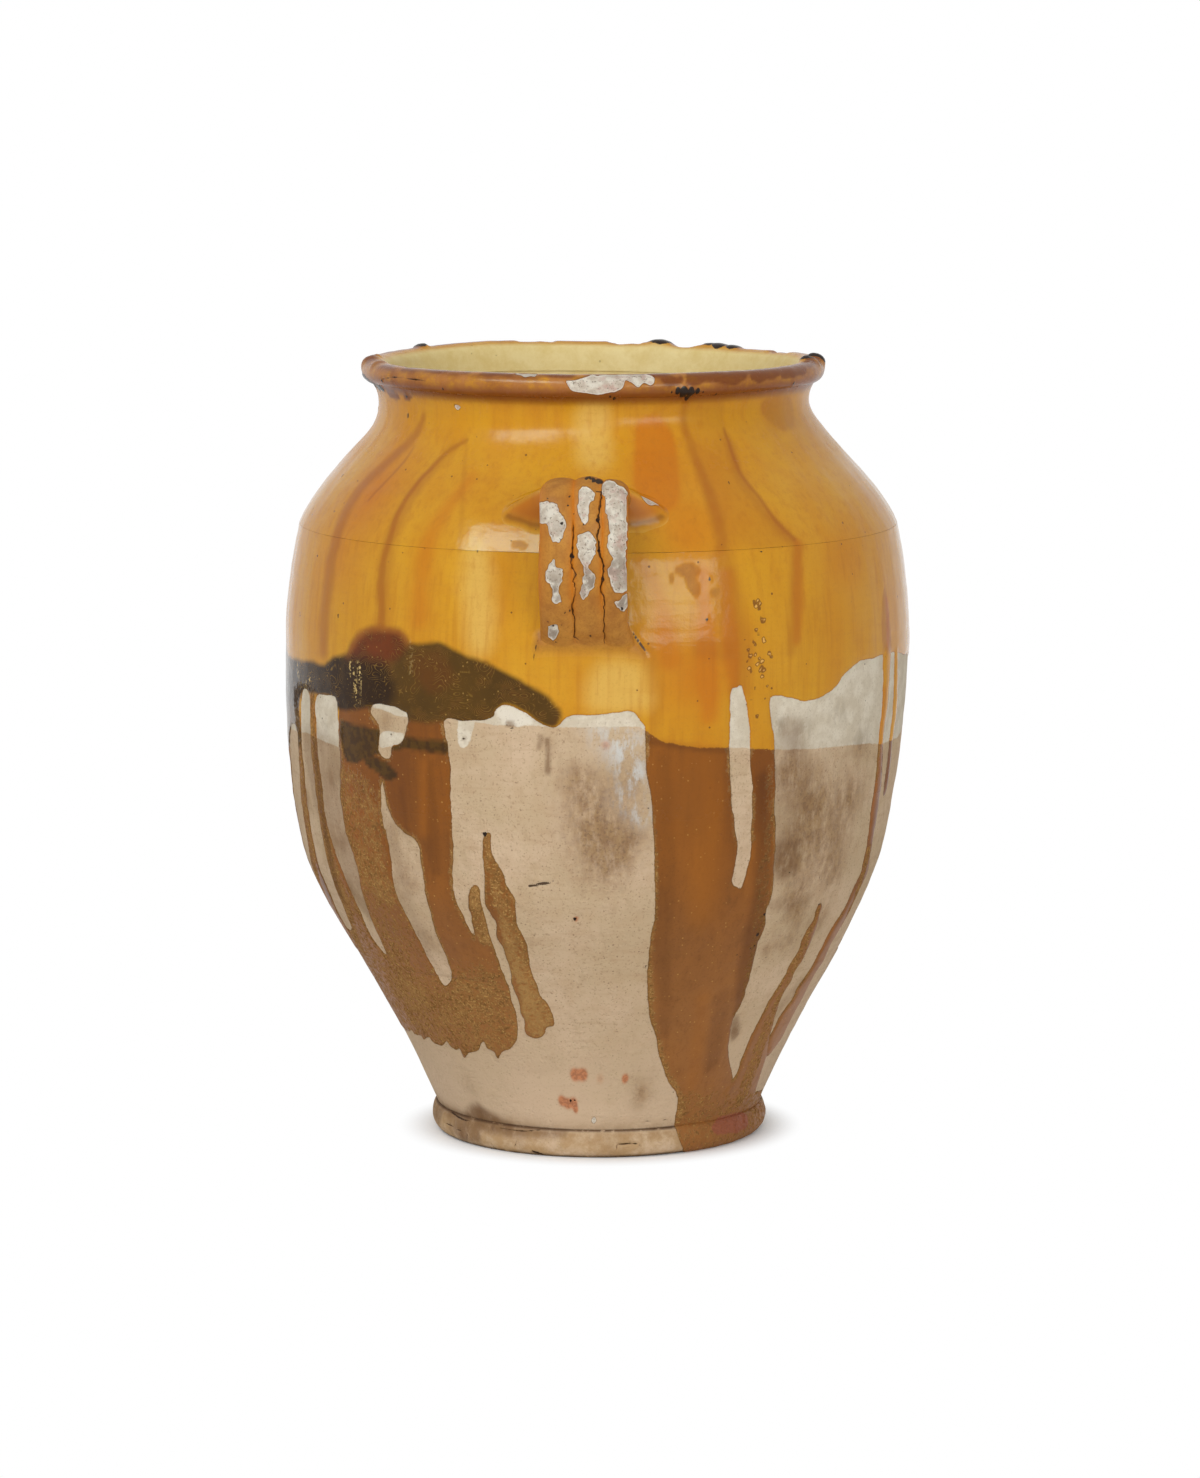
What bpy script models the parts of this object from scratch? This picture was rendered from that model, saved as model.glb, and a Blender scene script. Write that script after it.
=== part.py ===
"""A tall earthenware confit jar: a wheel-thrown pot built up from three thrown sections, a rolled foot, a
rolled rim, and two ribbed strap handles, each bound to the shoulder by a collar of luting clay.

Lengths are in metres and +Z is up. The origin is on the jar's axis, at the middle of its underside. The two
handles stand towards -Y (front) and +Y (rear). Outlines are written as radius and height. Each level of the
outline is set by its rise above the one below, so that a change of one lifts all that stands on it.
"""

from math import cos, hypot, pi, radians, sin

import bmesh
import bpy
from mathutils import Vector

# Clay and clearances
WALL = 0.0075  # thickness of the thrown wall, square to its outer face
CLEARANCE = 0.0003  # gap left between two pieces that the potter luted together

# Rolled foot, a coil of clay pressed round the bottom edge
FOOT_RADIUS = 0.0662  # where the foot meets the table
FOOT_PROUD = 0.0051  # how far the roll bulges beyond that
FOOT_HEIGHT = 0.0118  # underside to the crease above the roll
CREASE_OUT = 0.0028  # the crease's radius, beyond the foot's
COIL_REACH = 0.0057  # how far the coil reaches in under the floor's edge
SEAT_RISE = 0.0043  # slope of the coil's seat, from its inner edge up to the crease
FLOOR = 0.0100  # thickness of the floor within the coil
CORNER = 0.0080  # radius of the corner between floor and wall, inside

# Outer outline of the thrown wall: the rise from the level below, the radius, and the lean, which is the change
# of radius for each unit of height
CREASE_LEAN = 0.42
TAPER_RISE, TAPER_RADIUS, TAPER_LEAN = 0.0542, 0.0958, 0.56
KNEE_RISE, KNEE_RADIUS, KNEE_LEAN = 0.0510, 0.1216, 0.38
FLANK_RISE, FLANK_RADIUS, FLANK_LEAN = 0.0150, 0.1254, 0.19
BELLY_RISE, BELLY_RADIUS = 0.0800, 0.1318
RIDGE_RISE, RIDGE_RADIUS, RIDGE_LEAN_BELOW, RIDGE_LEAN_ABOVE = 0.0490, 0.1263, -0.21, -0.42
SHOULDER_RISE, SHOULDER_RADIUS, SHOULDER_LEAN = 0.0290, 0.1051, -0.94
NECK_RISE, NECK_RADIUS = 0.0225, 0.0907
COLLAR_RISE, COLLAR_FLARE, COLLAR_LEAN = 0.0091, 0.0031, 0.75  # where the neck runs out under the roll

# Joints between the thrown sections. The belly section meets the shoulder section at the ridge.
BASE_SEAM_RISE = 0.0135  # above the taper level
RIM_SEAM_DROP = 0.0035  # below the collar level
GROOVE_DEPTH = 0.0022  # the V that a section's edge is cut to, so that the next one sits in it

# Rolled rim
ROLL_PROUD = 0.0035  # how far the roll bulges beyond the collar level's radius
ROLL_HEIGHT = 0.0084  # the roll, bottom to top
CREST_INSET = 0.0021  # from the collar level's radius in to the middle of the crest
LAND = 0.0030  # width of the flat along the crest
LIP_WIDTH = 0.0036  # from the crest's flat in to the mouth's edge
LIP_DROP = 0.0022  # fall of the lip over that width

# Strap handles
HANDLE_TURN = radians(-2.6)  # the handles stand this far round from the Y axis
STRAP_WIDTH = 0.0353
STRAP_THICKNESS = 0.0085
RIB_COUNT = 3  # ribs pulled along the strap's outer face
RIB_DEPTH = 0.0016  # depth of the furrows between the ribs
RIB_FULLNESS = 0.6  # below 1, the ribs are full and the furrows narrow
EDGE_SQUARENESS = 6  # the higher, the less the strap's edges are rounded
ROOT_RISE = 0.0178  # above the ridge, where the strap leaves the shoulder
ROOT_PULL = 0.0590  # how far the strap reaches before it turns down
ROOT_SLOPE = 0.73  # angle above the level at which it leaves the shoulder, in radians
TAIL_DROP = 0.0378  # below the ridge, where the strap comes back to the belly
TAIL_REACH = 0.0390  # how far out of the belly the strap's lower half is drawn
TAIL_LIFT = 0.0250  # and how far up
STRAP_SINK = 0.0060  # how far the strap's ends are carried into the wall before they are trimmed to it
TAIL_FLARE = 0.0090  # extra width where the thumb has spread the strap's tail on the belly
TAIL_THINNING = 0.0022  # thickness lost there
FLARE_START = 0.80  # share of the strap's run above which it keeps its width

# Collars of luting clay, pinched on round the straps' roots
WING_REACH = 0.0163  # beyond each edge of the strap, round the shoulder
COLLAR_LAP = 0.0076  # beyond the strap's faces, up and down the shoulder
COLLAR_SWELL = 0.0075  # how far it stands off the shoulder at its middle
SWELL_TAPER = 1.6  # the higher, the later the collar thins towards its tips
WING_FULLNESS = 0.6  # below 1, the collar keeps its width nearer to the tips

# Mesh fineness
SEGMENTS = 56  # facets round a turned piece
RING_SPACING = 0.0150  # between the rings along the wall, about
ROLL_FACETS = 7  # facets round the foot's and the rim's rolls
CORNER_FACETS = 4  # round the inside corner of the floor
STRAP_INNER_FACETS = 5  # across the strap's inner face
STRAP_STATIONS = 16
RIB_POINTS = 4  # points across each rib
COLLAR_STATIONS = 12
COLLAR_POINTS = 10
MERGE = 0.00002  # distance for welding a turned piece's seam

# Levels that follow from the rises
CREASE_RADIUS = FOOT_RADIUS + CREASE_OUT
TAPER_HEIGHT = FOOT_HEIGHT + TAPER_RISE
BASE_SEAM_HEIGHT = TAPER_HEIGHT + BASE_SEAM_RISE
KNEE_HEIGHT = TAPER_HEIGHT + KNEE_RISE
FLANK_HEIGHT = KNEE_HEIGHT + FLANK_RISE
BELLY_HEIGHT = FLANK_HEIGHT + BELLY_RISE
RIDGE_HEIGHT = BELLY_HEIGHT + RIDGE_RISE
SHOULDER_HEIGHT = RIDGE_HEIGHT + SHOULDER_RISE
NECK_HEIGHT = SHOULDER_HEIGHT + NECK_RISE
COLLAR_HEIGHT = NECK_HEIGHT + COLLAR_RISE
COLLAR_RADIUS = NECK_RADIUS + COLLAR_FLARE
RIM_SEAM_HEIGHT = COLLAR_HEIGHT - RIM_SEAM_DROP
TOP = COLLAR_HEIGHT + ROLL_HEIGHT
ROOT_HEIGHT = RIDGE_HEIGHT + ROOT_RISE
TAIL_HEIGHT = RIDGE_HEIGHT - TAIL_DROP

BODY_STATIONS = [  # height, radius and lean
    (FOOT_HEIGHT, CREASE_RADIUS, CREASE_LEAN),
    (TAPER_HEIGHT, TAPER_RADIUS, TAPER_LEAN),
    (KNEE_HEIGHT, KNEE_RADIUS, KNEE_LEAN),
    (FLANK_HEIGHT, FLANK_RADIUS, FLANK_LEAN),
    (BELLY_HEIGHT, BELLY_RADIUS, 0.0),
    (RIDGE_HEIGHT, RIDGE_RADIUS, RIDGE_LEAN_BELOW),
]
NECK_STATIONS = [
    (RIDGE_HEIGHT, RIDGE_RADIUS, RIDGE_LEAN_ABOVE),
    (SHOULDER_HEIGHT, SHOULDER_RADIUS, SHOULDER_LEAN),
    (NECK_HEIGHT, NECK_RADIUS, 0.0),
    (COLLAR_HEIGHT, COLLAR_RADIUS, COLLAR_LEAN),
]


def outline(height, above_ridge):
    """Radius and lean of the wall's outer face at a height, from a cubic between the levels on either side."""
    stations = NECK_STATIONS if above_ridge else BODY_STATIONS
    for low, high in zip(stations, stations[1:]):
        if height <= high[0]:
            break
    span = high[0] - low[0]
    t = (height - low[0]) / span
    radius = (
        low[1] * (1 + 2 * t) * (1 - t) ** 2
        + low[2] * span * t * (1 - t) ** 2
        + high[1] * t * t * (3 - 2 * t)
        + high[2] * span * t * t * (t - 1)
    )
    lean = (
        (high[1] - low[1]) / span * 6 * t * (1 - t)
        + low[2] * (1 - t) * (1 - 3 * t)
        + high[2] * t * (3 * t - 2)
    )
    return radius, lean


def wall_point(height, offset, above_ridge):
    """A point level with the wall's outer face at a height, moved out so that it lies offset from that face."""
    radius, lean = outline(height, above_ridge)
    return radius + offset * hypot(1.0, lean), height


def outward(height, above_ridge):
    """The wall's outward normal at a height, as radial and vertical parts."""
    lean = outline(height, above_ridge)[1]
    length = hypot(1.0, lean)
    return 1.0 / length, -lean / length


def wall_line(low, high, offset, above_ridge):
    """The wall's outer face between two heights, rising, moved out by offset (or in, for the inner face)."""
    stations = NECK_STATIONS if above_ridge else BODY_STATIONS
    marks = [low] + [s[0] for s in stations if low < s[0] < high] + [high]
    heights = [low]
    for start, end in zip(marks, marks[1:]):
        count = max(2, round((end - start) / RING_SPACING))
        heights += [start + (end - start) * i / count for i in range(1, count + 1)]
    return [wall_point(height, offset, above_ridge) for height in heights]


def turned(name, profile, collection, closed=True):
    """A turned piece. The profile runs down its outer side and back up the inner one.

    An open profile starts and ends on the axis.
    """
    mesh = bpy.data.meshes.new(name)
    points = [(radius, 0.0, height) for radius, height in profile]
    edges = [(i, i + 1) for i in range(len(points) - 1)]
    if closed:
        edges.append((len(points) - 1, 0))
    mesh.from_pydata(points, edges, [])
    piece = bpy.data.objects.new(name, mesh)
    collection.objects.link(piece)
    screw = piece.modifiers.new("Turn", "SCREW")
    screw.steps = screw.render_steps = SEGMENTS
    screw.use_merge_vertices = True
    screw.merge_threshold = MERGE
    screw.use_smooth_shade = True
    return piece


def tongue_lift():
    """How far an upper section is lifted, so that its tongue lies CLEARANCE off the faces of the groove."""
    return CLEARANCE * hypot(1.0, 2 * GROOVE_DEPTH / WALL)


def seam(height, above_ridge, lift=0.0):
    """The V-shaped edge of a section at a seam, from outside to inside, raised by lift."""
    outside, inside = (wall_point(height, offset, above_ridge)[0] for offset in (0.0, -WALL))
    level = height + lift
    return [(outside, level), ((outside + inside) / 2, level - GROOVE_DEPTH), (inside, level)]


def half_roll(top_radius, bulge_radius, bottom_radius, low, high):
    """A half-round roll's points from its top down to its bottom."""
    middle = (low + high) / 2
    points = []
    for i in range(ROLL_FACETS + 1):
        angle = pi / 2 - pi * i / ROLL_FACETS
        start = top_radius if angle > 0 else bottom_radius
        points.append((start + (bulge_radius - start) * cos(angle), middle + (high - low) / 2 * sin(angle)))
    return points


def make_foot_ring(collection):
    """The coil round the bottom edge: a half-round roll outside, fitted to the floor's edge inside."""
    roll = half_roll(CREASE_RADIUS, FOOT_RADIUS + FOOT_PROUD, FOOT_RADIUS, 0.0, FOOT_HEIGHT - CLEARANCE)
    seat = FOOT_RADIUS - COIL_REACH + CLEARANCE
    inside = [(seat, 0.0), (seat, FOOT_HEIGHT - SEAT_RISE - CLEARANCE)]
    return turned("foot_ring", roll + inside, collection)


def make_base_section(collection):
    """Floor and lower wall, thrown in one. Its bottom edge is rebated for the foot coil."""
    turn = FLOOR + CORNER
    side = wall_point(turn, -WALL, False)[0]
    corner = []
    for i in range(CORNER_FACETS):
        angle = pi / 2 * i / CORNER_FACETS
        corner.append((side - CORNER * (1 - sin(angle)), turn - CORNER * cos(angle)))
    inside = wall_line(turn, BASE_SEAM_HEIGHT, -WALL, False)[:-1]
    outside = wall_line(FOOT_HEIGHT, BASE_SEAM_HEIGHT, 0.0, False)[:-1]
    seat = FOOT_RADIUS - COIL_REACH
    rebate = [(seat, FOOT_HEIGHT - SEAT_RISE), (seat, 0.0)]
    groove = seam(BASE_SEAM_HEIGHT, False)
    profile = [(0.0, FLOOR)] + corner + inside + groove[::-1] + outside[::-1] + rebate + [(0.0, 0.0)]
    return turned("base_section", profile, collection, closed=False)


def make_wall_section(name, tongue, low, high, above_ridge, collection):
    """A thrown ring of wall between two seams, with a tongue below and a groove above."""
    outside = wall_line(low, high, 0.0, above_ridge)[1:-1]
    inside = wall_line(low, high, -WALL, above_ridge)[1:-1]
    groove = seam(high, above_ridge)
    profile = [groove[0]] + outside[::-1] + tongue + inside + [groove[2], groove[1]]
    return turned(name, profile, collection)


def make_rim_roll(collection):
    """The rolled rim: a cove out of the neck, a half-round roll, a flat land on its crest and a sloping lip."""
    crest = COLLAR_RADIUS - CREST_INSET
    roll = half_roll(crest + LAND / 2, COLLAR_RADIUS + ROLL_PROUD, COLLAR_RADIUS, COLLAR_HEIGHT, TOP)
    tongue = seam(RIM_SEAM_HEIGHT, True, lift=tongue_lift())
    inside = [wall_point(COLLAR_HEIGHT, -WALL, True)]
    land_edge = crest - LAND / 2
    lip = [(land_edge - LIP_WIDTH, TOP - LIP_DROP), (land_edge, TOP)]
    return turned("rim_roll", roll + tongue + inside + lip, collection)


def strap_path(t):
    """Centre line of a strap, from its root on the shoulder to its tail on the belly, as radius and height."""
    root_out, tail_out = outward(ROOT_HEIGHT, True), outward(TAIL_HEIGHT, False)
    root_radius, tail_radius = outline(ROOT_HEIGHT, True)[0], outline(TAIL_HEIGHT, False)[0]
    root = (root_radius - STRAP_SINK * root_out[0], ROOT_HEIGHT - STRAP_SINK * root_out[1])
    tail = (tail_radius - STRAP_SINK * tail_out[0], TAIL_HEIGHT - STRAP_SINK * tail_out[1])
    over = (root[0] + ROOT_PULL * cos(ROOT_SLOPE), root[1] + ROOT_PULL * sin(ROOT_SLOPE))
    under = (tail[0] + TAIL_REACH, tail[1] + TAIL_LIFT)
    weights = ((1 - t) ** 3, 3 * t * (1 - t) ** 2, 3 * t * t * (1 - t), t**3)
    points = (root, over, under, tail)
    return tuple(sum(w * p[axis] for w, p in zip(weights, points)) for axis in (0, 1))


def strap_section(t, margin):
    """Outline of a strap across its run, as offsets sideways and outwards, grown by a margin all round."""
    spread = max(0.0, (t - FLARE_START) / (1 - FLARE_START))
    spread *= spread * (3 - 2 * spread)
    width = STRAP_WIDTH + TAIL_FLARE * spread + 2 * margin
    half_thickness = (STRAP_THICKNESS - TAIL_THINNING * spread) / 2 + margin
    points = []
    outer_count = RIB_COUNT * RIB_POINTS
    for i in range(outer_count + 1):  # the ribbed outer face, with rounded edges
        across = i / outer_count
        rounding = (1 - abs(2 * across - 1) ** EDGE_SQUARENESS) ** 0.5
        rib = abs(sin(pi * RIB_COUNT * across)) ** RIB_FULLNESS
        points.append(((across - 0.5) * width, rounding * (half_thickness - RIB_DEPTH * (1 - rib))))
    for i in range(1, STRAP_INNER_FACETS):  # the smooth inner face
        angle = pi * i / STRAP_INNER_FACETS
        points.append((0.5 * width * cos(angle), -half_thickness * sin(angle) ** 0.5))
    return points


def strap_mesh(name, margin=0.0):
    """A strap lofted along its centre line, standing towards -Y, with both ends carried into the wall."""
    bm = bmesh.new()
    rings = []
    step = 0.5 / STRAP_STATIONS
    for i in range(STRAP_STATIONS + 1):
        t = i / STRAP_STATIONS
        here, ahead, behind = strap_path(t), strap_path(t + step), strap_path(t - step)
        along = Vector((ahead[0] - behind[0], ahead[1] - behind[1])).normalized()
        away = Vector((-along.y, along.x))  # square to the run, on the outer side
        ring = []
        for sideways, outwards in strap_section(t, margin):
            radius = here[0] + away.x * outwards
            height = here[1] + away.y * outwards
            ring.append(bm.verts.new((sideways, -radius, height)))
        rings.append(ring)
    skin(bm, rings)
    bm.faces.new(rings[0])
    bm.faces.new(rings[-1])
    return finished(bm, name)


def luting_collar_mesh(name):
    """A spindle of luting clay laid round the shoulder across a strap's root, standing towards -Y."""
    bm = bmesh.new()
    radius = outline(ROOT_HEIGHT, True)[0]
    out, up = outward(ROOT_HEIGHT, True)
    reach = STRAP_WIDTH / 2 + WING_REACH
    half_width = STRAP_THICKNESS / 2 + COLLAR_LAP
    rings = []
    for i in range(1, COLLAR_STATIONS):
        share = 2 * i / COLLAR_STATIONS - 1
        angle = share * reach / radius
        swell = COLLAR_SWELL * (1 - abs(share) ** SWELL_TAPER)
        spread = half_width * (1 - share * share) ** WING_FULLNESS
        ring = []
        for k in range(COLLAR_POINTS):
            turn = 2 * pi * k / COLLAR_POINTS
            off, along = swell * cos(turn), spread * sin(turn)
            distance = radius + out * off - up * along
            height = ROOT_HEIGHT + up * off + out * along
            ring.append(bm.verts.new((distance * sin(angle), -distance * cos(angle), height)))
        rings.append(ring)
    skin(bm, rings)
    for side, ring in ((-1, rings[0]), (1, rings[-1])):
        angle = side * reach / radius
        tip = bm.verts.new((radius * sin(angle), -radius * cos(angle), ROOT_HEIGHT))
        for k in range(COLLAR_POINTS):
            bm.faces.new((tip, ring[k], ring[(k + 1) % COLLAR_POINTS]))
    return finished(bm, name)


def skin(bm, rings):
    """Faces between neighbouring rings of a loft."""
    for first, second in zip(rings, rings[1:]):
        for i in range(len(first)):
            j = (i + 1) % len(first)
            bm.faces.new((first[i], first[j], second[j], second[i]))


def finished(bm, name):
    """The mesh of a closed shape, with its faces turned outwards."""
    bmesh.ops.recalc_face_normals(bm, faces=bm.faces)
    mesh = bpy.data.meshes.new(name)
    bm.to_mesh(mesh)
    bm.free()
    return mesh


def cut(piece, cutter):
    """Takes the cutter's shape out of the piece."""
    boolean = piece.modifiers.new("Cut by " + cutter.name, "BOOLEAN")
    boolean.operation = "DIFFERENCE"
    boolean.solver = "EXACT"
    boolean.object = cutter


def as_cutter(piece):
    """Marks a shape that only trims other pieces and isn't part of the jar."""
    piece.hide_render = True
    piece.display_type = "WIRE"


def make_handle(side, angle, wall_room, parts, cutters):
    """A strap and its luting collar, turned round the jar's axis by an angle. Both are trimmed to the wall."""
    strap = bpy.data.objects.new(side + "_handle", strap_mesh("strap"))
    collar = bpy.data.objects.new(side + "_luting_collar", luting_collar_mesh("luting_collar"))
    strap_room = bpy.data.objects.new(side + "_strap_room", strap_mesh("strap_room", CLEARANCE))
    for piece, collection in ((strap, parts), (collar, parts), (strap_room, cutters)):
        piece.rotation_euler.z = angle
        collection.objects.link(piece)
    as_cutter(strap_room)
    cut(strap, wall_room)
    cut(collar, wall_room)
    cut(collar, strap_room)
    for piece in (strap, collar):
        piece.data.shade_smooth()
        piece.data.set_sharp_from_angle(angle=pi / 4)
    return strap, collar


def make_wall_room(collection):
    """The space that the wall fills, with its clearance: the handles are trimmed to it."""
    body = wall_line(BASE_SEAM_HEIGHT, RIDGE_HEIGHT, CLEARANCE, False)
    neck = wall_line(RIDGE_HEIGHT, RIM_SEAM_HEIGHT, CLEARANCE, True)
    face = body + neck[1:]
    profile = [(0.0, RIM_SEAM_HEIGHT)] + face[::-1] + [(0.0, BASE_SEAM_HEIGHT)]
    room = turned("wall_room", profile, collection, closed=False)
    as_cutter(room)
    return room


def material(name, colour, roughness):
    made = bpy.data.materials.new(name)
    made.use_nodes = True
    shader = made.node_tree.nodes["Principled BSDF"]
    shader.inputs["Base Color"].default_value = (*colour, 1.0)
    shader.inputs["Roughness"].default_value = roughness
    shader.inputs["Metallic"].default_value = 0.0
    made.diffuse_color = (*colour, 1.0)
    return made


def main():
    for leftover in list(bpy.data.objects):
        bpy.data.objects.remove(leftover)
    parts = bpy.data.collections.new("confit_jar")
    cutters = bpy.data.collections.new("cutters")
    for collection in (parts, cutters):
        bpy.context.scene.collection.children.link(collection)

    bare_clay = material("bare_clay", (0.56, 0.41, 0.28), 0.85)
    yellow_glaze = material("yellow_glaze", (0.66, 0.32, 0.05), 0.18)

    foot = make_foot_ring(parts)
    base = make_base_section(parts)
    base_tongue = seam(BASE_SEAM_HEIGHT, False, lift=tongue_lift())
    belly = make_wall_section("belly_section", base_tongue, BASE_SEAM_HEIGHT, RIDGE_HEIGHT, False, parts)
    ridge_tongue = seam(RIDGE_HEIGHT, False, lift=tongue_lift())
    shoulder = make_wall_section("shoulder_section", ridge_tongue, RIDGE_HEIGHT, RIM_SEAM_HEIGHT, True, parts)
    rim = make_rim_roll(parts)

    wall_room = make_wall_room(cutters)
    front = make_handle("front", HANDLE_TURN, wall_room, parts, cutters)
    rear = make_handle("rear", HANDLE_TURN + pi, wall_room, parts, cutters)

    for piece in (foot, base):
        piece.data.materials.append(bare_clay)
    for piece in (belly, shoulder, rim, *front, *rear):
        piece.data.materials.append(yellow_glaze)


main()
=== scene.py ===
from math import cos, hypot, pi, radians, sin
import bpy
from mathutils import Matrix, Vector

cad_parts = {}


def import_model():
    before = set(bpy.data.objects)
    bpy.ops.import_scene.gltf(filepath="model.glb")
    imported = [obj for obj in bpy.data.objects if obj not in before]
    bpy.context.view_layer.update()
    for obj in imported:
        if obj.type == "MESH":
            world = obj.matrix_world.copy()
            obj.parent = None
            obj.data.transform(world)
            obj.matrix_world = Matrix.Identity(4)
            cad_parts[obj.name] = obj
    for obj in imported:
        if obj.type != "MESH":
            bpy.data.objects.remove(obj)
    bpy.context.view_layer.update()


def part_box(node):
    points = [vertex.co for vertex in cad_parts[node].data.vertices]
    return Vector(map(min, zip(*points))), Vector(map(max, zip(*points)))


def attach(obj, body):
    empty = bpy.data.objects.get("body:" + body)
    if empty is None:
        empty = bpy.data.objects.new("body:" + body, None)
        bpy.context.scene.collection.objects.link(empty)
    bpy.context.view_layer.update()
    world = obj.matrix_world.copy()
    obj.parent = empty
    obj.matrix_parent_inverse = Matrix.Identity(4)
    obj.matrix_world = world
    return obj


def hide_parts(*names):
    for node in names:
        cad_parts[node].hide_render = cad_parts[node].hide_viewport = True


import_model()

from types import SimpleNamespace

import bpy
import numpy as np
from mathutils import Vector

# Lengths are in metres. Angles round the jar are measured from the front (-Y) towards +X.

# Camera that took the photograph, fitted to the ellipses of the rim, the ridge and the foot
PHOTO_WIDTH, PHOTO_HEIGHT = 1200, 1478
FOCAL_PIXELS = 5665.5
PITCH = radians(8.2133)
DISTANCE = 2.41806
AIM_HEIGHT = 0.16742
SENSOR = 36.0
PIXEL = 0.000405  # size of one pixel of the photograph on the front of the belly
PIXEL_ON_STRAP = 0.0004  # and on the front strap

# Seams between the thrown sections, from the frame
BASE_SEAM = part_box("base_section")[1].z
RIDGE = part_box("belly_section")[1].z
RIM_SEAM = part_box("shoulder_section")[1].z
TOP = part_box("rim_roll")[1].z

# The thrown wall's outer face: height, radius and lean, which is the change of radius for a unit of height
FOOT_RADIUS, FOOT_BULGE, FOOT_TOP_RADIUS, FOOT_TOP = 0.0662, 0.0713, 0.0690, 0.0118
FOOT_SEAT = 0.0605  # the foot coil's inner radius under the floor
FOOT_SEAT_HEIGHT = 0.0072
RIDGE_RADIUS = 0.1263
BODY_LEVELS = [
    (FOOT_TOP, FOOT_TOP_RADIUS, 0.42),
    (0.0660, 0.0958, 0.56),
    (0.1170, 0.1216, 0.38),
    (0.1320, 0.1254, 0.19),
    (0.2120, 0.1318, 0.0),
    (RIDGE, RIDGE_RADIUS, -0.21),
]
COLLAR_RADIUS, COLLAR_LEAN, COLLAR = 0.0938, 0.75, 0.3216
NECK_LEVELS = [
    (RIDGE, RIDGE_RADIUS, -0.42),
    (0.2900, 0.1051, -0.94),
    (0.3125, 0.0907, 0.0),
    (COLLAR, COLLAR_RADIUS, COLLAR_LEAN),
]
ROLL_RADIUS, CREST_OUTER, CREST_INNER, MOUTH_RADIUS = 0.0973, 0.0930, 0.0904, 0.0866
LIP_HEIGHT = TOP - 0.0022
RIM_BREADTH = 0.004  # from the rim's outer side to its inner one, for places across it
WALL = 0.0075
FLOOR, CORNER = 0.0100, 0.0080

# Mesh fineness
COLUMNS, FEW_COLUMNS = 640, 160  # round the outside and the inside; the first is a multiple of the second
FRONT_FINENESS = 0.30  # how much finer the columns are at the front than on average
ROW = 0.0013  # between rows up the outside
INSIDE_ROW = 0.0048
UNROLL = 0.125  # radius at which angles are turned into lengths on the unrolled wall
EDGE_REACH = 0.006  # signed distances are kept up to this
OLIVE_SOFTNESS = 0.0008
PIMPLE_GROWTH = 1.25  # pimples are made this much larger than they measure

# Sideways lean of the real jar at a height, read from the middle of its outline
LEAN = [
    (0.0, -0.0003), (0.0100, -0.0003), (0.0790, -0.0006), (0.0800, -0.0010), (0.1150, -0.0026),
    (0.1450, -0.0027), (0.1800, -0.0020), (0.2100, -0.0012), (0.2450, -0.0009), (0.2750, -0.0008),
    (0.3020, -0.0012), (0.3120, -0.0027), (0.3300, -0.0030), (0.4000, -0.0030),
]

# Outlines read from the photograph, in its pixels. First the glaze's lower edge, from left to right.
GLAZE_EDGE_FRONT = [
    (388, 1012), (400, 1026), (413, 1031), (415, 1034), (422, 1035), (424, 1038), (430, 1037), (433, 1041),
    (443, 1044), (447, 1040), (451, 1045), (457, 1049), (461, 1048), (465, 1058), (470, 1053), (480, 1050),
    (482, 1043), (485, 1041), (488, 1047), (495, 1051), (499, 1058), (504, 1051), (510, 1049), (517, 1039),
    (518, 1024), (517, 1013), (512, 1001), (507, 983), (501, 968), (497, 954), (489, 934), (486, 922),
    (482, 905), (480, 890), (476, 884), (470, 889), (468, 902), (472, 922), (474, 936), (463, 914),
    (455, 893), (453, 842), (451, 766), (445, 732), (445, 721), (452, 719), (472, 720), (492, 717),
    (496, 709), (509, 705), (525, 713), (541, 723), (557, 727), (566, 719), (582, 715), (607, 713),
    (628, 710), (640, 721), (645, 731), (646, 762), (650, 795), (653, 824), (655, 861), (655, 885),
    (654, 918), (651, 942), (648, 967), (647, 991), (650, 1016), (656, 1040), (662, 1065), (668, 1082),
    (677, 1098), (675, 1114), (679, 1140), (683, 1154), (700, 1159), (730, 1150), (760, 1130), (768, 1108),
    (762, 1090), (752, 1094), (738, 1092), (733, 1080), (729, 1060), (729, 1044), (733, 1020), (742, 1003),
    (749, 982), (752, 967), (758, 943), (765, 927), (766, 912), (772, 895), (774, 873), (775, 808),
    (773, 735), (771, 697), (805, 701), (830, 690), (845, 672), (859, 661), (882, 655), (896, 652),
]
# The same edge round the rear, as degrees and millimetres of height: left of the front, then right of it
GLAZE_EDGE_LEFT = [
    (-205, 170), (-190, 174), (-184, 168), (-180, 120), (-176, 70), (-172, 58), (-168, 64), (-165, 110),
    (-162, 160), (-157, 176), (-148, 173), (-142, 168), (-139, 140), (-136, 124), (-132, 119), (-128, 128),
    (-125, 160), (-121, 171), (-114, 168), (-110, 130), (-107, 80), (-103, 58), (-97, 50), (-92, 53),
]
GLAZE_EDGE_RIGHT = [
    (92, 203), (100, 206), (106, 196), (109, 170), (111, 110), (114, 74), (118, 66), (123, 71), (126, 112),
    (129, 168), (134, 182), (143, 180), (150, 173), (158, 171), (164, 173), (170, 174), (176, 168),
    (190, 168), (205, 172),
]
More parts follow.
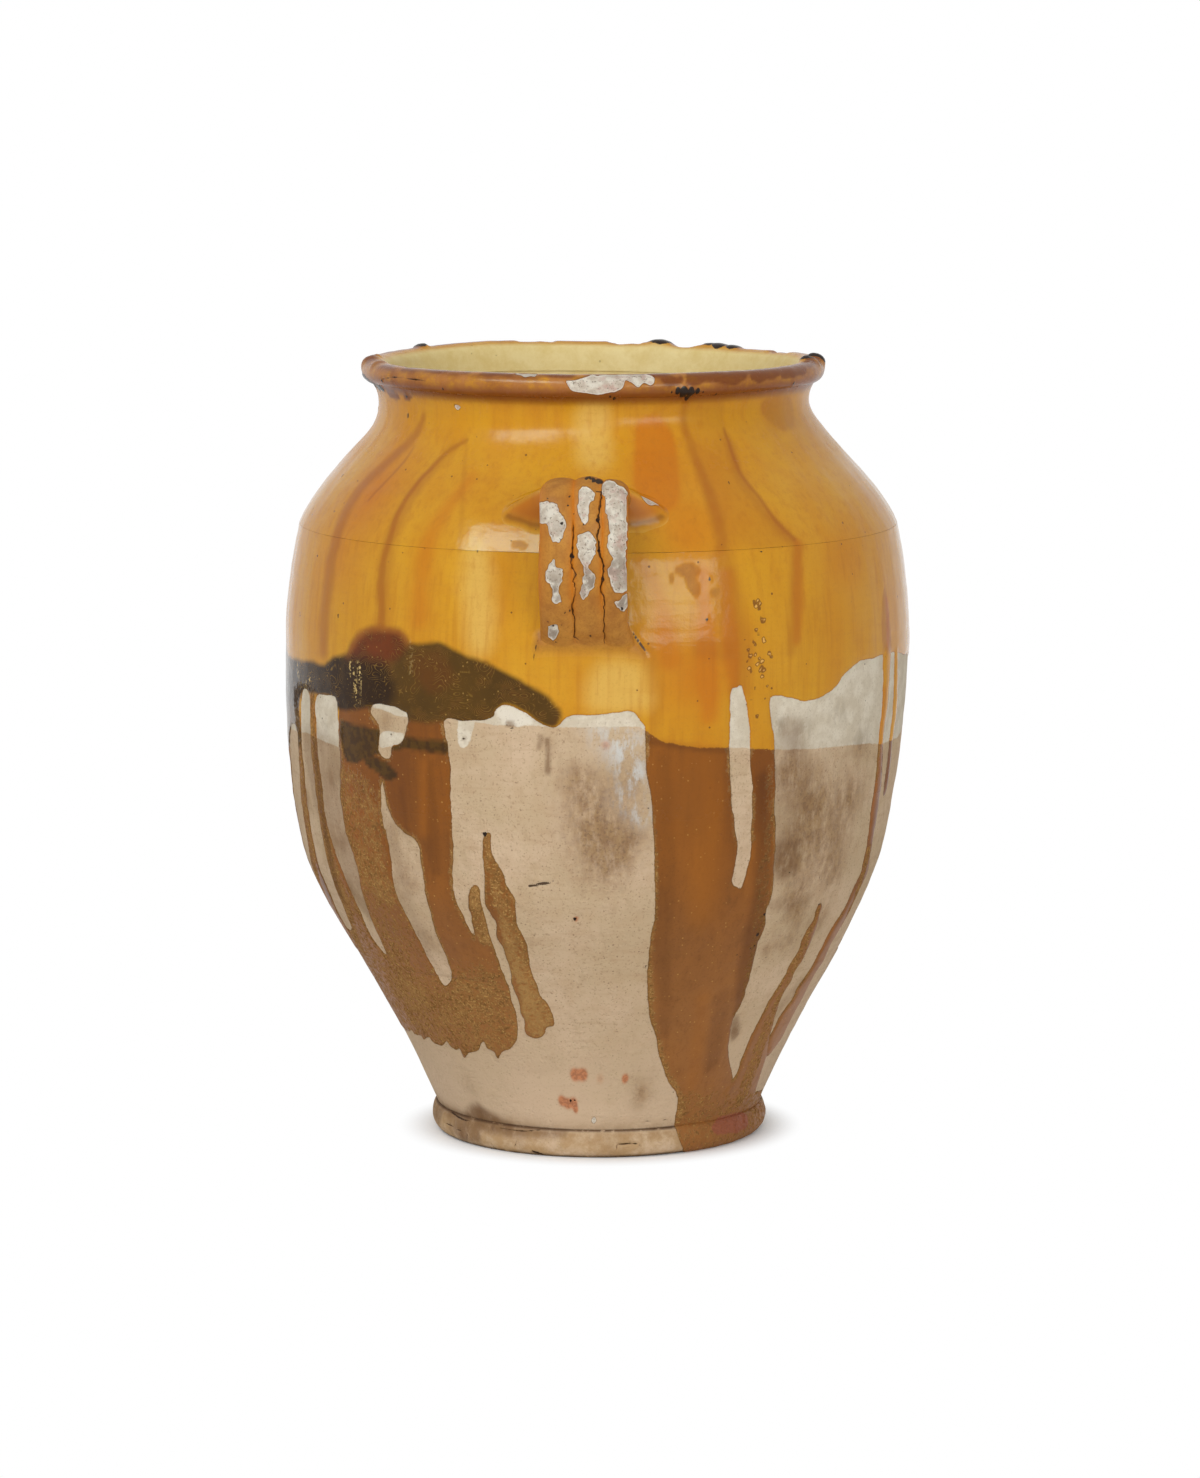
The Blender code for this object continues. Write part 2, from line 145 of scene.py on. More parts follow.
# Places inside the glaze where it is missing
BARE_PLACES = [
    [(382, 781), (392, 817), (405, 832), (419, 842), (422, 865), (426, 893), (438, 935), (452, 972),
     (449, 985), (443, 984), (434, 968), (413, 926), (396, 888), (390, 846), (382, 810)],
    [(373, 707), (380, 704), (408, 712), (405, 737), (399, 745), (392, 747), (390, 758), (384, 757),
     (379, 748), (380, 735), (380, 724), (373, 714)],
    [(317, 697), (328, 696), (338, 701), (339, 736), (341, 775), (342, 803), (347, 832), (358, 865),
     (363, 890), (372, 918), (381, 940), (387, 955), (371, 934), (361, 910), (346, 877), (334, 844),
     (326, 812), (320, 762), (317, 730)],
    [(303, 692), (310, 694), (311, 735), (318, 800), (326, 850), (338, 890), (352, 926), (346, 925),
     (330, 890), (316, 850), (308, 800), (302, 735)],
    [(291, 730), (298, 732), (302, 800), (310, 850), (321, 895), (311, 895), (299, 850), (292, 800)],
    [(729, 695), (735, 689), (741, 688), (748, 724), (750, 749), (752, 817), (750, 850), (743, 886),
     (738, 888), (732, 882), (737, 842), (731, 800), (729, 749)],
]
# Runs of glaze over bare clay
RUN_PLACES = [
    [(486, 834), (490, 835), (492, 848), (498, 864), (504, 876), (507, 885), (515, 901), (517, 921),
     (522, 934), (527, 946), (530, 967), (536, 983), (540, 995), (547, 1003), (552, 1014), (554, 1026),
     (547, 1028), (545, 1034), (538, 1039), (531, 1037), (525, 1031), (525, 1020), (522, 1014), (520, 1004),
     (516, 995), (511, 983), (510, 971), (507, 958), (503, 946), (496, 936), (496, 924), (490, 913),
     (486, 905), (485, 885), (484, 864), (483, 848), (483, 838)],
    [(818, 906), (820, 904), (822, 906), (822, 910), (820, 915), (817, 927), (813, 938), (808, 950),
     (802, 962), (795, 972), (791, 982), (784, 993), (778, 1008), (774, 1022), (770, 1036), (766, 1057),
     (761, 1072), (756, 1088), (752, 1106), (735, 1114), (722, 1096), (732, 1080), (737, 1072), (742, 1058),
     (751, 1037), (761, 1018), (769, 1001), (779, 985), (787, 972), (792, 962), (798, 953), (802, 943),
     (807, 931), (814, 920), (816, 912)],
    [(885, 640), (889, 653), (888, 679), (886, 708), (883, 735), (882, 761), (880, 788), (877, 814),
     (872, 845), (869, 865), (867, 873), (858, 892), (851, 908), (841, 927), (832, 942), (825, 957),
     (815, 973), (807, 988), (803, 997), (796, 1010), (789, 1023), (782, 1037), (775, 1048), (766, 1057),
     (768, 1044), (770, 1037), (777, 1023), (785, 1010), (794, 997), (797, 988), (808, 973), (817, 957),
     (825, 942), (833, 927), (845, 908), (852, 892), (861, 873), (863, 865), (867, 845), (870, 814),
     (874, 788), (876, 761), (878, 735), (881, 708), (882, 679), (882, 653)],
    [(893, 648), (896, 650), (896, 700), (891, 745), (886, 790), (883, 790), (888, 745), (892, 700)],
]
# Runs round the rear: degrees, upper and lower height and half the width, in millimetres
REAR_RUNS = [
    (101, 212, 92, 2.2), (104, 206, 120, 1.4), (136, 185, 132, 2.4), (146, 182, 96, 3.2),
    (154, 178, 150, 1.6), (162, 176, 42, 4.0), (169, 176, 118, 2.0), (-153, 180, 84, 3.4),
    (-147, 178, 146, 1.8), (-120, 176, 98, 2.6), (-117, 175, 138, 1.5), (-94, 176, 24, 2.4),
]
SLIP_EDGE_FRONT = [
    (292, 728), (306, 733), (318, 738), (339, 747), (340.5, 707), (375, 705), (400, 716), (445, 719),
    (500, 724), (560, 727), (640, 727), (662, 741), (700, 747), (760, 750), (830, 748), (880, 743),
    (896, 739),
]
SLIP_EDGE_REAR = [(105, 180), (125, 172), (150, 166), (180, 171), (205, 177), (230, 186), (255, 190)]
STAIN = [
    (275, 640), (289, 655), (312, 662), (326, 664), (336, 657), (348, 652), (353, 641), (362, 631),
    (374, 627), (388, 626), (401, 628), (408, 636), (413, 643), (438, 642), (452, 647), (468, 656),
    (490, 665), (506, 673), (524, 683), (539, 691), (552, 701), (561, 714), (556, 726), (540, 722),
    (525, 712), (509, 704), (496, 710), (492, 720), (445, 722), (412, 720), (400, 718), (374, 707),
    (341, 709), (336, 699), (318, 694), (303, 692), (300, 715), (302, 745), (290, 745), (275, 745),
]
# White slip that shows in gaps of the glaze below the slip's edge
SLIP_PLACES = [
    [(382, 732), (404, 734), (403, 741), (396, 747), (388, 748), (380, 746)],
    [(496, 712), (503, 706), (516, 706), (527, 713), (532, 722), (520, 727), (505, 724)],
    [(459, 719), (474, 720), (471, 740), (466, 747), (459, 744)],
    [(374, 704), (386, 705), (406, 712), (405, 715), (388, 710), (375, 708)],
]
STAIN_REAR = [
    (-82, 204), (-90, 210), (-98, 216), (-106, 208), (-113, 196), (-117, 184), (-111, 177), (-100, 174),
    (-91, 178), (-82, 186),
]
OLIVE_PLACES = [
    [(341, 723), (352, 724), (366, 726), (378, 729), (404, 737), (420, 739), (440, 741), (450, 744),
     (451, 749), (447, 753), (435, 752), (415, 750), (404, 749), (385, 752), (376, 753), (366, 757),
     (356, 762), (345, 757)],
    [(366, 757), (376, 757), (386, 762), (395, 770), (398, 776), (392, 780), (384, 778), (376, 770),
     (368, 764)],
]
# Darker streaks in the glaze: points with half the width in pixels, softness in pixels, and strength
STREAKS = [
    ([(424, 418, 2), (410, 442, 5), (385, 466, 6), (362, 488, 7), (346, 515, 7), (338, 538, 7),
      (333, 560, 7), (329, 590, 7), (326, 625, 7), (325, 650, 6)], 9, 0.8),
    ([(414, 448, 0.5), (398, 470, 1), (370, 500, 1)], 3, 0.8),
    ([(468, 441, 1), (451, 451, 1.5), (436, 465, 2), (421, 480, 2), (409, 497, 2), (396, 521, 2.5),
      (389, 544, 3), (384, 560, 3), (382, 590, 4), (383, 625, 4)], 4, 0.95),
    ([(451, 452, 4), (421, 484, 5), (398, 524, 6), (387, 560, 7), (384, 625, 8)], 10, 0.45),
    ([(467, 444, 0.8), (464, 480, 1), (462, 520, 1), (460, 552, 1)], 4, 0.35),
    ([(724, 430, 0.8), (733, 460, 1.2), (746, 484, 1.4), (762, 504, 1.6), (778, 524, 1.6), (793, 540, 1.4)],
      3, 1.0),
    ([(728, 440, 3), (740, 480, 4), (764, 512, 4), (790, 540, 3)], 8, 0.45),
    ([(684, 402, 2), (687, 440, 3), (703, 480, 4), (716, 520, 5), (722, 545, 4)], 8, 0.65),
    ([(796, 546, 5), (795, 580, 6), (793, 620, 6), (790, 650, 3)], 9, 0.4),
    ([(722, 556, 8), (730, 600, 10), (736, 640, 10), (740, 690, 6)], 12, 0.5),
    ([(700, 648, 8), (722, 650, 8)], 8, 0.35),
    ([(648, 650, 4), (652, 676, 5), (656, 700, 5), (652, 740, 3)], 8, 0.35),
    ([(545, 745, 3), (548, 768, 3)], 5, 0.5),
    ([(664, 760, 4), (666, 850, 7), (662, 950, 7), (664, 1030, 5)], 9, 0.35),
    ([(762, 780, 5), (763, 850, 7), (756, 920, 9), (745, 980, 9), (736, 1040, 7)], 9, 0.75),
    ([(640, 741, 1), (662, 743, 2), (690, 747, 2), (732, 750, 2)], 5, 0.5),
    ([(297, 694, 3), (303, 740, 3), (309, 800, 4), (318, 850, 4), (330, 895, 4)], 5, 0.8),
    ([(313, 697, 3), (316, 740, 3), (322, 800, 4), (331, 850, 4), (343, 895, 4)], 5, 0.8),
    ([(431, 764, 3), (433, 820, 5), (437, 870, 5)], 6, 0.55),
    ([(402, 790, 2), (410, 840, 2)], 5, 0.4),
    ([(722, 1000, 8), (712, 1060, 9)], 10, 0.35),
]
DEEP_PLACES = [  # outline, softness and strength
    ([(690, 400), (722, 400), (728, 440), (745, 486), (770, 522), (789, 541), (724, 543), (707, 500),
      (693, 455)], 8, 0.3),
    ([(883, 588), (885, 598), (887, 615), (889, 635), (889, 652), (885, 654), (881, 640), (880, 620),
      (881, 600)], 2, 0.6),
    ([(764, 400), (788, 398), (792, 408), (794, 424), (786, 430), (766, 418)], 3, 0.45),
]
# Parts of the stain, olive-gold crust and gold flecks: outline, softness and strength
STAIN_RED = [
    ([(350, 660), (352, 644), (364, 622), (397, 618), (412, 630), (404, 646), (393, 658), (376, 662)],
      10, 0.95),
    ([(415, 660), (440, 655), (450, 680), (430, 690)], 10, 0.3),
]
STAIN_DARK = [
    ([(326, 664), (334, 656), (352, 660), (372, 662), (384, 668), (392, 686), (384, 706), (345, 712),
      (322, 704), (286, 700), (290, 672), (312, 666)], 13, 1.0),
    ([(366, 757), (376, 757), (386, 762), (395, 770), (398, 776), (392, 780), (384, 778), (376, 770)],
      4, 0.8),
    ([(284, 640), (300, 652), (330, 660), (330, 668), (300, 664), (284, 656)], 6, 0.5),
]
CRUST_PLACES = [
    ([(344, 778), (356, 774), (368, 784), (376, 810), (384, 850), (392, 890), (385, 900), (366, 880),
      (352, 840)], 14, 0.6),
    ([(400, 985), (440, 1000), (480, 975), (505, 990), (517, 1030), (500, 1055), (466, 1057), (426, 1040)],
      40, 0.6),
    ([(340, 890), (384, 930), (410, 975), (420, 1010), (400, 1030), (380, 1000), (350, 940)], 30, 0.45),
    ([(345, 850), (392, 890), (430, 960), (480, 975), (500, 1000), (440, 1010), (390, 960)], 24, 0.4),
    ([(470, 889), (482, 888), (486, 920), (492, 945), (478, 936)], 6, 0.9),
    ([(680, 1092), (735, 1095), (765, 1092), (772, 1110), (760, 1135), (700, 1158), (683, 1152),
      (676, 1118)], 14, 0.4),
]
CRUST_LINES = [
    ([(300, 690, 6), (313, 697, 7), (314, 740, 10), (321, 800, 11), (330, 850, 11), (343, 895, 10),
      (360, 945, 7)], 8, 0.8),
    ([(297, 694, 6), (300, 740, 8), (305, 800, 11), (313, 850, 11), (328, 900, 9), (342, 935, 7)], 8, 0.8),
    ([(343, 720, 1.5), (344, 800, 2), (352, 850, 3)], 5, 0.7),
    ([(489, 845, 5), (502, 900, 8), (524, 970, 12), (540, 1024, 15)], 6, 0.75),
    ([(653, 860, 2), (650, 900, 3), (648, 960, 4), (651, 1020, 4), (662, 1070, 6), (678, 1110, 8)], 8, 0.8),
    ([(769, 770, 2), (768, 830, 3), (763, 880, 5), (758, 930, 5), (748, 980, 4), (738, 1030, 3)], 9, 0.5),
    ([(819, 906, 3), (799, 958, 6), (770, 1018, 9), (744, 1088, 14)], 5, 0.6),
    ([(868, 850, 4), (843, 925, 6), (808, 995, 5)], 5, 0.8),
]
GOLD_LINES = [
    ([(352, 662, 2), (355, 680, 3), (359, 702, 2)], 3, 1.0),
    ([(361, 664, 2), (364, 684, 3), (366, 706, 2)], 3, 1.0),
    ([(298, 664, 2), (304, 690, 3), (312, 676, 2)], 4, 0.7),
    ([(411, 640, 1), (412, 662, 1.5), (411, 676, 1)], 2, 0.2),
]
PALE_GLAZE = [
    [(582, 404), (606, 404), (608, 440), (606, 462), (590, 466), (580, 450)],
    [(600, 668), (636, 666), (645, 690), (644, 706), (610, 708), (590, 700)],
    [(468, 556), (486, 558), (492, 620), (486, 650), (470, 640)],
    [(503, 925), (512, 940), (530, 985), (548, 1020), (550, 1034), (538, 1042), (524, 1036), (514, 985)],
]
# Smudges: x, y, radius in pixels and strength. Brown weather, blue-white bloom and rust on the bare clay.
WEATHER = [
    (588, 800, 30, 0.8), (600, 845, 32, 0.9), (576, 775, 16, 0.5), (610, 870, 22, 0.5), (790, 770, 22, 0.9),
    (783, 862, 12, 0.9), (768, 950, 12, 0.6), (800, 915, 12, 0.5), (835, 840, 24, 0.6),
    (482, 1116, 12, 1.0), (496, 1122, 9, 0.9), (468, 1126, 9, 0.8), (462, 1133, 9, 0.7),
    (510, 1126, 10, 0.6), (640, 1096, 14, 0.5), (815, 800, 36, 1.0), (800, 850, 32, 1.0),
    (850, 800, 26, 0.9), (795, 900, 24, 0.9), (780, 725, 12, 0.7), (835, 870, 26, 0.8), (860, 745, 20, 0.7),
    (790, 940, 20, 0.6), (548, 745, 8, 0.5), (700, 1100, 14, 0.4), (640, 1090, 20, 0.4),
    (735, 1032, 9, 0.9), (500, 700, 6, 0.3), (840, 712, 14, 0.4), (800, 730, 14, 0.6), (396, 830, 18, 0.5),
    (410, 880, 18, 0.5), (432, 940, 16, 0.5), (332, 780, 14, 0.6), (308, 800, 14, 0.6), (340, 840, 14, 0.6),
    (352, 890, 14, 0.6), (386, 722, 12, 0.6), (328, 725, 10, 0.4), (850, 960, 24, 0.5),
    (440, 1106, 14, 0.7), (452, 1128, 13, 0.7), (470, 1085, 16, 0.3), (520, 1138, 16, 0.3),
    (610, 1150, 24, 0.3), (690, 1140, 20, 0.4), (630, 780, 26, 0.7), (620, 830, 28, 0.85),
    (410, 1050, 16, 0.4), (800, 990, 18, 0.8), (820, 920, 20, 0.8), (745, 1070, 12, 0.4),
    (780, 1010, 16, 0.5), (772, 1040, 14, 0.5),
]
BLOOM = [
    (625, 748, 20, 0.9), (635, 775, 16, 0.8), (640, 815, 12, 0.7), (600, 730, 14, 0.5), (622, 800, 14, 0.5),
]
RUST = [
    (352, 790, 6, 0.9), (362, 812, 5, 0.8), (358, 836, 4, 0.8), (372, 850, 4, 0.7), (575, 1074, 7, 1.0),
    (583, 1074, 7, 1.0), (562, 1100, 6, 0.9), (568, 1103, 6, 0.9), (574, 1102, 6, 0.9), (576, 1109, 4, 0.8),
    (625, 1078, 5, 1.0), (576, 919, 2.4, 1.0), (600, 1078, 8, 0.3), (606, 745, 6, 0.4),
]
ORANGE_LINES = [
    ([(704, 760, 8), (708, 840, 9), (702, 910, 8)], 24, 0.6),
    ([(668, 765, 9), (674, 830, 7)], 20, 0.45),
    ([(702, 1000, 6), (694, 1080, 7)], 14, 0.35),
    ([(425, 765, 3), (428, 830, 5)], 10, 0.6),
    ([(656, 442, 20), (656, 482, 22)], 8, 0.8),
    ([(702, 575, 5), (706, 650, 6), (708, 715, 6)], 9, 0.7),
    ([(726, 575, 5), (730, 650, 6), (732, 690, 4)], 8, 0.7),
    ([(797, 545, 4), (797, 600, 5), (795, 640, 3)], 6, 0.8),
    ([(470, 480, 3), (440, 520, 4), (425, 560, 5), (420, 620, 5)], 12, 0.6),
    ([(640, 560, 3), (660, 600, 5), (668, 660, 6)], 12, 0.5),
    ([(885, 600, 3), (886, 645, 3)], 4, 1.0),
    ([(882, 690, 4), (877, 760, 4), (868, 830, 4), (850, 890, 4), (820, 950, 4)], 5, 0.6),
]
ORANGE = [
    (655, 450, 26, 0.9), (652, 490, 22, 0.7), (690, 680, 34, 0.7), (705, 470, 30, 0.4), (745, 520, 34, 0.3),
    (690, 535, 34, 0.8), (655, 640, 30, 0.5), (720, 640, 36, 0.4), (375, 490, 40, 0.9), (340, 560, 40, 0.5),
    (840, 560, 34, 0.4), (560, 560, 24, 0.3),
]
RIM_BROWN = [
    [(685, 374), (714, 373), (742, 370), (743, 381), (728, 384), (712, 382), (688, 385)],
    [(749, 371), (775, 368), (777, 378), (764, 381), (751, 380)],
    [(779, 368), (800, 363), (805, 372), (792, 377), (781, 378)],
    [(660, 378), (680, 377), (680, 382), (668, 385)],
    [(386, 386), (392, 389), (400, 396), (397, 399), (388, 393)],
    [(404, 392), (412, 394), (410, 399), (405, 398)],
    [(806, 360), (812, 358), (814, 366), (808, 369)],
]
PIMPLES = [  # burst bubbles in the glaze: x, y and radius in pixels
    (753, 602, 1.6), (757, 600, 1.4), (759, 604, 1.7), (755, 606, 2.0), (758, 609, 1.3), (760, 618, 1.4),
    (763, 620, 1.8), (761, 623, 1.2), (755, 630, 1.7), (757, 634, 1.3), (762, 638, 1.4), (763, 641, 1.8),
    (752, 641, 1.3), (754, 644, 1.5), (747, 650, 1.6), (749, 656, 1.8), (746, 661, 1.0), (768, 653, 1.9),
    (770, 657, 1.4), (754, 654, 1.6), (758, 658, 1.2), (761, 661, 2.0), (756, 664, 1.7), (760, 666, 1.4),
    (763, 669, 1.7), (748, 668, 1.8), (750, 672, 1.3), (759, 671, 1.5), (761, 676, 1.8), (754, 688, 1.3),
    (766, 686, 1.2), (756, 716, 1.7), (750, 700, 0.9), (764, 698, 0.9), (744, 640, 0.9),
]
# Dirt, and painted shade: the first line is painted shade along the foot's crease.
DIRT_AND_SHADE_LINES = [
    ([(445, 1106, 1), (478, 1122, 3), (520, 1131, 2), (565, 1133, 1)], 8, 0.75),
    ([(547, 741, 1.2), (548, 758, 1), (548, 771, 2.4)], 3, 0.8),
    ([(541, 737, 1.2), (538, 748, 1)], 4, 0.5),
    ([(764, 905, 1), (790, 905, 3), (808, 900, 2)], 10, 0.3),
    ([(735, 1022, 5), (736, 1034, 5)], 4, 0.6),
    ([(509, 724, 2), (513, 725, 2)], 1.5, 0.9),
    ([(464, 739, 1), (466, 740, 1)], 1.5, 0.8),
]
DIRT_PLACES = [
    ([(480, 1106), (500, 1120), (512, 1130), (486, 1126), (468, 1116)], 9, 0.9),
    ([(456, 1122), (476, 1128), (480, 1140), (462, 1138)], 8, 0.7),
    ([(434, 1100), (444, 1108), (440, 1122), (434, 1112)], 7, 0.6),
    ([(775, 845), (795, 842), (797, 868), (780, 876)], 9, 0.6),
    ([(776, 742), (800, 745), (812, 800), (790, 850), (776, 830)], 16, 0.3),
    ([(783, 722), (797, 722), (800, 745), (786, 750)], 8, 0.5),
    ([(306, 730), (336, 745), (344, 800), (366, 880), (374, 920), (350, 890), (325, 830), (310, 780)],
      10, 0.45),
    ([(376, 810), (398, 850), (410, 900), (430, 950), (420, 956), (396, 900)], 12, 0.3),
]
WHITE_PLACES = [
    ([(496, 712), (503, 706), (516, 706), (527, 713), (532, 722), (520, 727), (505, 724)], 2, 1.0),
]
FLAKED_PLACES = [
    ([(678, 566), (694, 565), (699, 571), (695, 579), (700, 588), (697, 596), (690, 592), (685, 579),
      (677, 572)], 1.5, 0.9),
    ([(670, 574), (674, 575), (673, 582), (669, 581)], 1.5, 0.7),
    ([(514, 544), (526, 545), (525, 549), (515, 549)], 1.5, 0.8),
    ([(711, 590), (718, 588), (719, 594), (713, 596)], 1.5, 0.7),
]
FOOT_RED = [
    (713, 1120), (722, 1115), (742, 1113), (747, 1119), (745, 1128), (730, 1133), (716, 1134), (711, 1128),
]
# Black slag, pits and burnt spots: x, y, radius in pixels
BURNT_SPOTS = [
    (373, 382, 2.2), (376, 385, 2.8), (379, 388, 2.8), (381, 391, 2.0), (383, 380.5, 2.2), (390, 388, 1.4),
    (405.5, 394, 2.0), (407.5, 396, 2.2), (409, 391, 1.9), (413, 393, 1.2), (409, 414.5, 1.7),
    (409, 417, 1.6), (444, 388, 1.3), (434, 395, 1.1), (492, 400, 1.1), (379, 407, 1.7), (571, 1100, 2.2),
    (575, 1099, 1.8), (766, 958.5, 1.3), (797, 940, 1.3), (820, 878, 1.2), (828, 884, 1.2), (833, 883, 0.9),
    (764, 914, 2.0), (757, 934, 2.2), (754, 946, 1.6), (750, 949, 1.4), (737, 955, 1.2), (742, 916, 1.2),
    (673, 1092, 1.4), (676, 1096, 1.2), (740, 957, 1.0), (614, 397, 2.5), (618, 398, 1.6), (610, 395, 1.5),
    (715, 393, 1.4), (793, 383, 2), (683, 391, 5.5), (690, 391, 5), (686, 396, 4), (677, 390, 3.5),
    (697, 390, 3), (671, 391, 1.5), (702, 391, 1.5), (575, 919, 2.2), (485, 834, 2.5), (819, 905, 2),
    (478, 552, 1.4), (319, 556, 1.8), (760, 552, 1.6), (728, 484, 1.4), (343, 476, 1.8), (648, 808, 1.4),
    (340, 616, 2), (646, 967, 1.6), (768, 957, 1.3), (710, 1028, 1.2), (790, 873, 1.4), (706, 620, 2.0),
    (709, 579, 2),
]
BURNT_PLACE = [  # degrees, mm
    (-83, 325.4), (-76, 323.8), (-70, 320.0), (-72, 318.0), (-78, 321.0), (-84, 323.4),
]
SLIT = [(529, 886.5, 1.2), (541, 884.5, 1.6), (554, 882, 1.1)]
RIM_CHIPS = [
    [(566, 381), (571, 380), (588, 376), (600, 375), (616, 375), (633, 376), (649, 376), (654, 379),
     (651, 385), (643, 384), (638, 388), (633, 384), (626, 381), (623, 388), (613, 392), (597, 393),
     (581, 391), (572, 389), (568, 385)],
    [(592, 1118), (594, 1117), (596, 1120), (594, 1123), (592, 1121)],
    [(455, 405), (458, 405), (462, 409), (458, 410)],
    [(514, 373), (524, 374), (536, 374), (536, 377), (526, 377), (516, 376)],
    [(400, 358), (406, 358), (410, 362), (409, 366), (404, 365), (400, 361)],
]
TAIL_CRACKS = [
    [(631, 629, 0.8), (638, 641, 1.3), (647, 653, 0.7)],
    [(539, 640, 0.4), (536, 650, 0.8), (533, 664, 0.3)],
]
FOOT_CRACKS = [
    [(468, 1131, 0.3), (467.5, 1136, 0.6), (467, 1139, 0.3)],
    [(442, 1120, 0.3), (452, 1126, 0.5), (465, 1133, 0.3)],
    [(614, 1143, 0.3), (622, 1144, 0.6), (632, 1143, 0.7), (640, 1145, 0.4)],
    [(617, 1145, 0.3), (616, 1152, 0.4)],
    [(532, 1151, 0.6), (537, 1152.5, 1.2), (543, 1154, 0.4)],
    [(491, 1143, 0.3), (496, 1148, 0.7)],
    [(517, 1140, 0.3), (515, 1146, 0.5)],
    [(383, 379, 0.4), (398, 377, 0.6), (418, 380, 0.6), (432, 382, 0.5), (460, 384, 0.2)],
    [(505, 721, 0.4), (508, 727, 0.8), (513, 728, 0.8), (515, 723, 0.4)],
    [(462, 738, 0.3), (464, 739.5, 1.2), (466, 740, 0.3)],
    [(640, 1120, 0.3), (655, 1122, 0.5), (668, 1119, 0.3)],
    [(452, 1112, 0.4), (462, 1119, 0.6), (470, 1121, 0.3)],
    [(698, 1120, 0.3), (709, 1117, 0.5), (716, 1116, 0.3)],
    [(456, 831, 0.2), (462, 833, 0.5), (467, 835, 0.2)],
    [(500, 1128, 0.2), (520, 1131, 0.4), (540, 1130, 0.2)],
]
# Lumps of kiln slag on the rim, stretches of its rear that are chipped, and its warp
SLAG_LUMPS = [  # degrees, share of the way across the rim, radius and height in metres, black or not
    (-127.4, 0.1, 0.0030, 0.0012, 1), (161.7, 0.1, 0.0056, 0.0026, 1), (147, 0.1, 0.0034, 0.0009, 1),
    (143.5, 0.1, 0.0040, 0.0013, 1), (139, 0.1, 0.0036, 0.0010, 1), (86, 0.0, 0.0027, 0.0021, 1),
    (79, 0.4, 0.0027, 0.0019, 1), (-85, 0.0, 0.0030, 0.0016, 0), (-73, 0.1, 0.0022, 0.0010, 0),
    (-94, 0.3, 0.0020, 0.0012, 0),
]
REAR_RIM_CHIPS = [(150, 167, 0.0012), (166, 176, 0.0009), (112, 124, 0.0010), (-170, -158, 0.0006)]
RIM_WARP = [(-148, 22, 0.0009), (140, 20, -0.0010)]  # degrees, spread and rise in metres

# Marks on the front strap, in pixels: flaked places, cracks along the furrows, burnt spots and dirt
STRAP_CHIPS = [
    [(539, 503), (556, 503), (558, 510), (563, 515), (566, 523), (565, 530), (560, 541), (553, 541),
     (549, 532), (547, 524), (539, 523)],
    [(580, 489), (588, 487), (594, 492), (593, 500), (590, 504), (588, 520), (585, 525), (581, 520),
     (578, 506)],
    [(602, 484), (609, 480), (618, 484), (628, 491), (626, 500), (627, 530), (626, 560), (628, 588),
     (621, 593), (614, 591), (610, 580), (607, 570), (613, 560), (607, 548), (608, 538), (610, 530),
     (606, 512), (606, 501), (603, 493)],
    [(577, 538), (582, 534), (588, 532), (594, 537), (596, 549), (592, 559), (588, 567), (594, 574),
     (595, 584), (590, 592), (583, 600), (580, 594), (583, 582), (584, 568), (579, 558)],
    [(554, 560), (556, 568), (563, 570), (562, 580), (558, 590), (561, 600), (557, 604), (552, 601),
     (552, 588), (546, 580), (547, 569)],
    [(620, 600), (627, 594), (628, 606), (624, 611), (618, 608), (615, 602)],
    [(549, 627), (557, 626), (558, 634), (553, 640), (548, 636)],
]
WING_CHIP = [(634, 497), (641, 500), (646, 502), (654, 505), (658, 507), (650, 511), (643, 509), (638, 504)]
FURROW_CRACKS = [
    [(573, 520, 0.2), (573, 535, 0.5), (572, 556, 0.7), (571, 567, 0.5), (576, 575, 0.4), (573, 582, 0.6),
     (576, 589, 0.4), (572, 605, 0.6), (574, 620, 0.5), (574, 637, 0.5), (578, 641, 0.3)],
    [(596, 491, 0.6), (602, 491, 0.7), (600, 503, 0.7), (599, 512, 0.7), (598, 521, 1.0), (600, 527, 0.6),
     (597, 534, 0.7), (599, 551, 0.9), (603, 566, 0.8), (603, 580, 0.9), (600, 590, 0.5), (604, 598, 0.5),
     (604, 620, 0.5), (604, 640, 0.4), (606, 650, 0.2)],
]
STRAP_BURNT = [
    (587, 478, 1.5), (590, 478.5, 2.0), (594, 479.5, 2.2), (598, 481, 2.6), (601, 481.5, 1.8),
    (570, 497, 1.0), (568, 506, 1.1), (574, 514, 0.9), (572, 556, 2.0), (598, 520, 1.7), (599, 551, 1.7),
    (603, 566, 1.3), (603, 579, 1.3), (583, 525, 1.0), (562, 523, 1.5), (570, 611, 1.3), (565, 613, 0.8),
    (553, 627, 1.1), (556, 642, 1.0), (590, 636, 0.9), (622, 609, 1.3), (631, 533, 1.4), (548, 499, 0.8),
    (560, 540, 0.8),
]
STRAP_DIRT = [
    (592, 582, 16, 1.0), (554, 590, 14, 0.9), (616, 566, 18, 0.7), (622, 604, 9, 0.9), (553, 634, 8, 0.9),
    (560, 528, 8, 0.4), (612, 520, 8, 0.4),
]

# Straps and luting
HANDLE_TURN = radians(-2.6)
STRAP_MIDDLE = 583  # pixel column of the strap's middle
HANDLE_SIDES = {"front": 0.0, "rear": pi}
STRAP_WIDTH, STRAP_THICKNESS = 0.0353, 0.0085
ROOT_HEIGHT, ROOT_PULL, ROOT_SLOPE = 0.2788, 0.0590, 0.73
TAIL_HEIGHT, TAIL_REACH, TAIL_LIFT = 0.2232, 0.0390, 0.0250
STRAP_SINK = 0.0060
TAIL_FLARE, TAIL_THINNING, FLARE_START, TAIL_SHIFT = 0.0030, 0.0030, 0.86, 0.0010
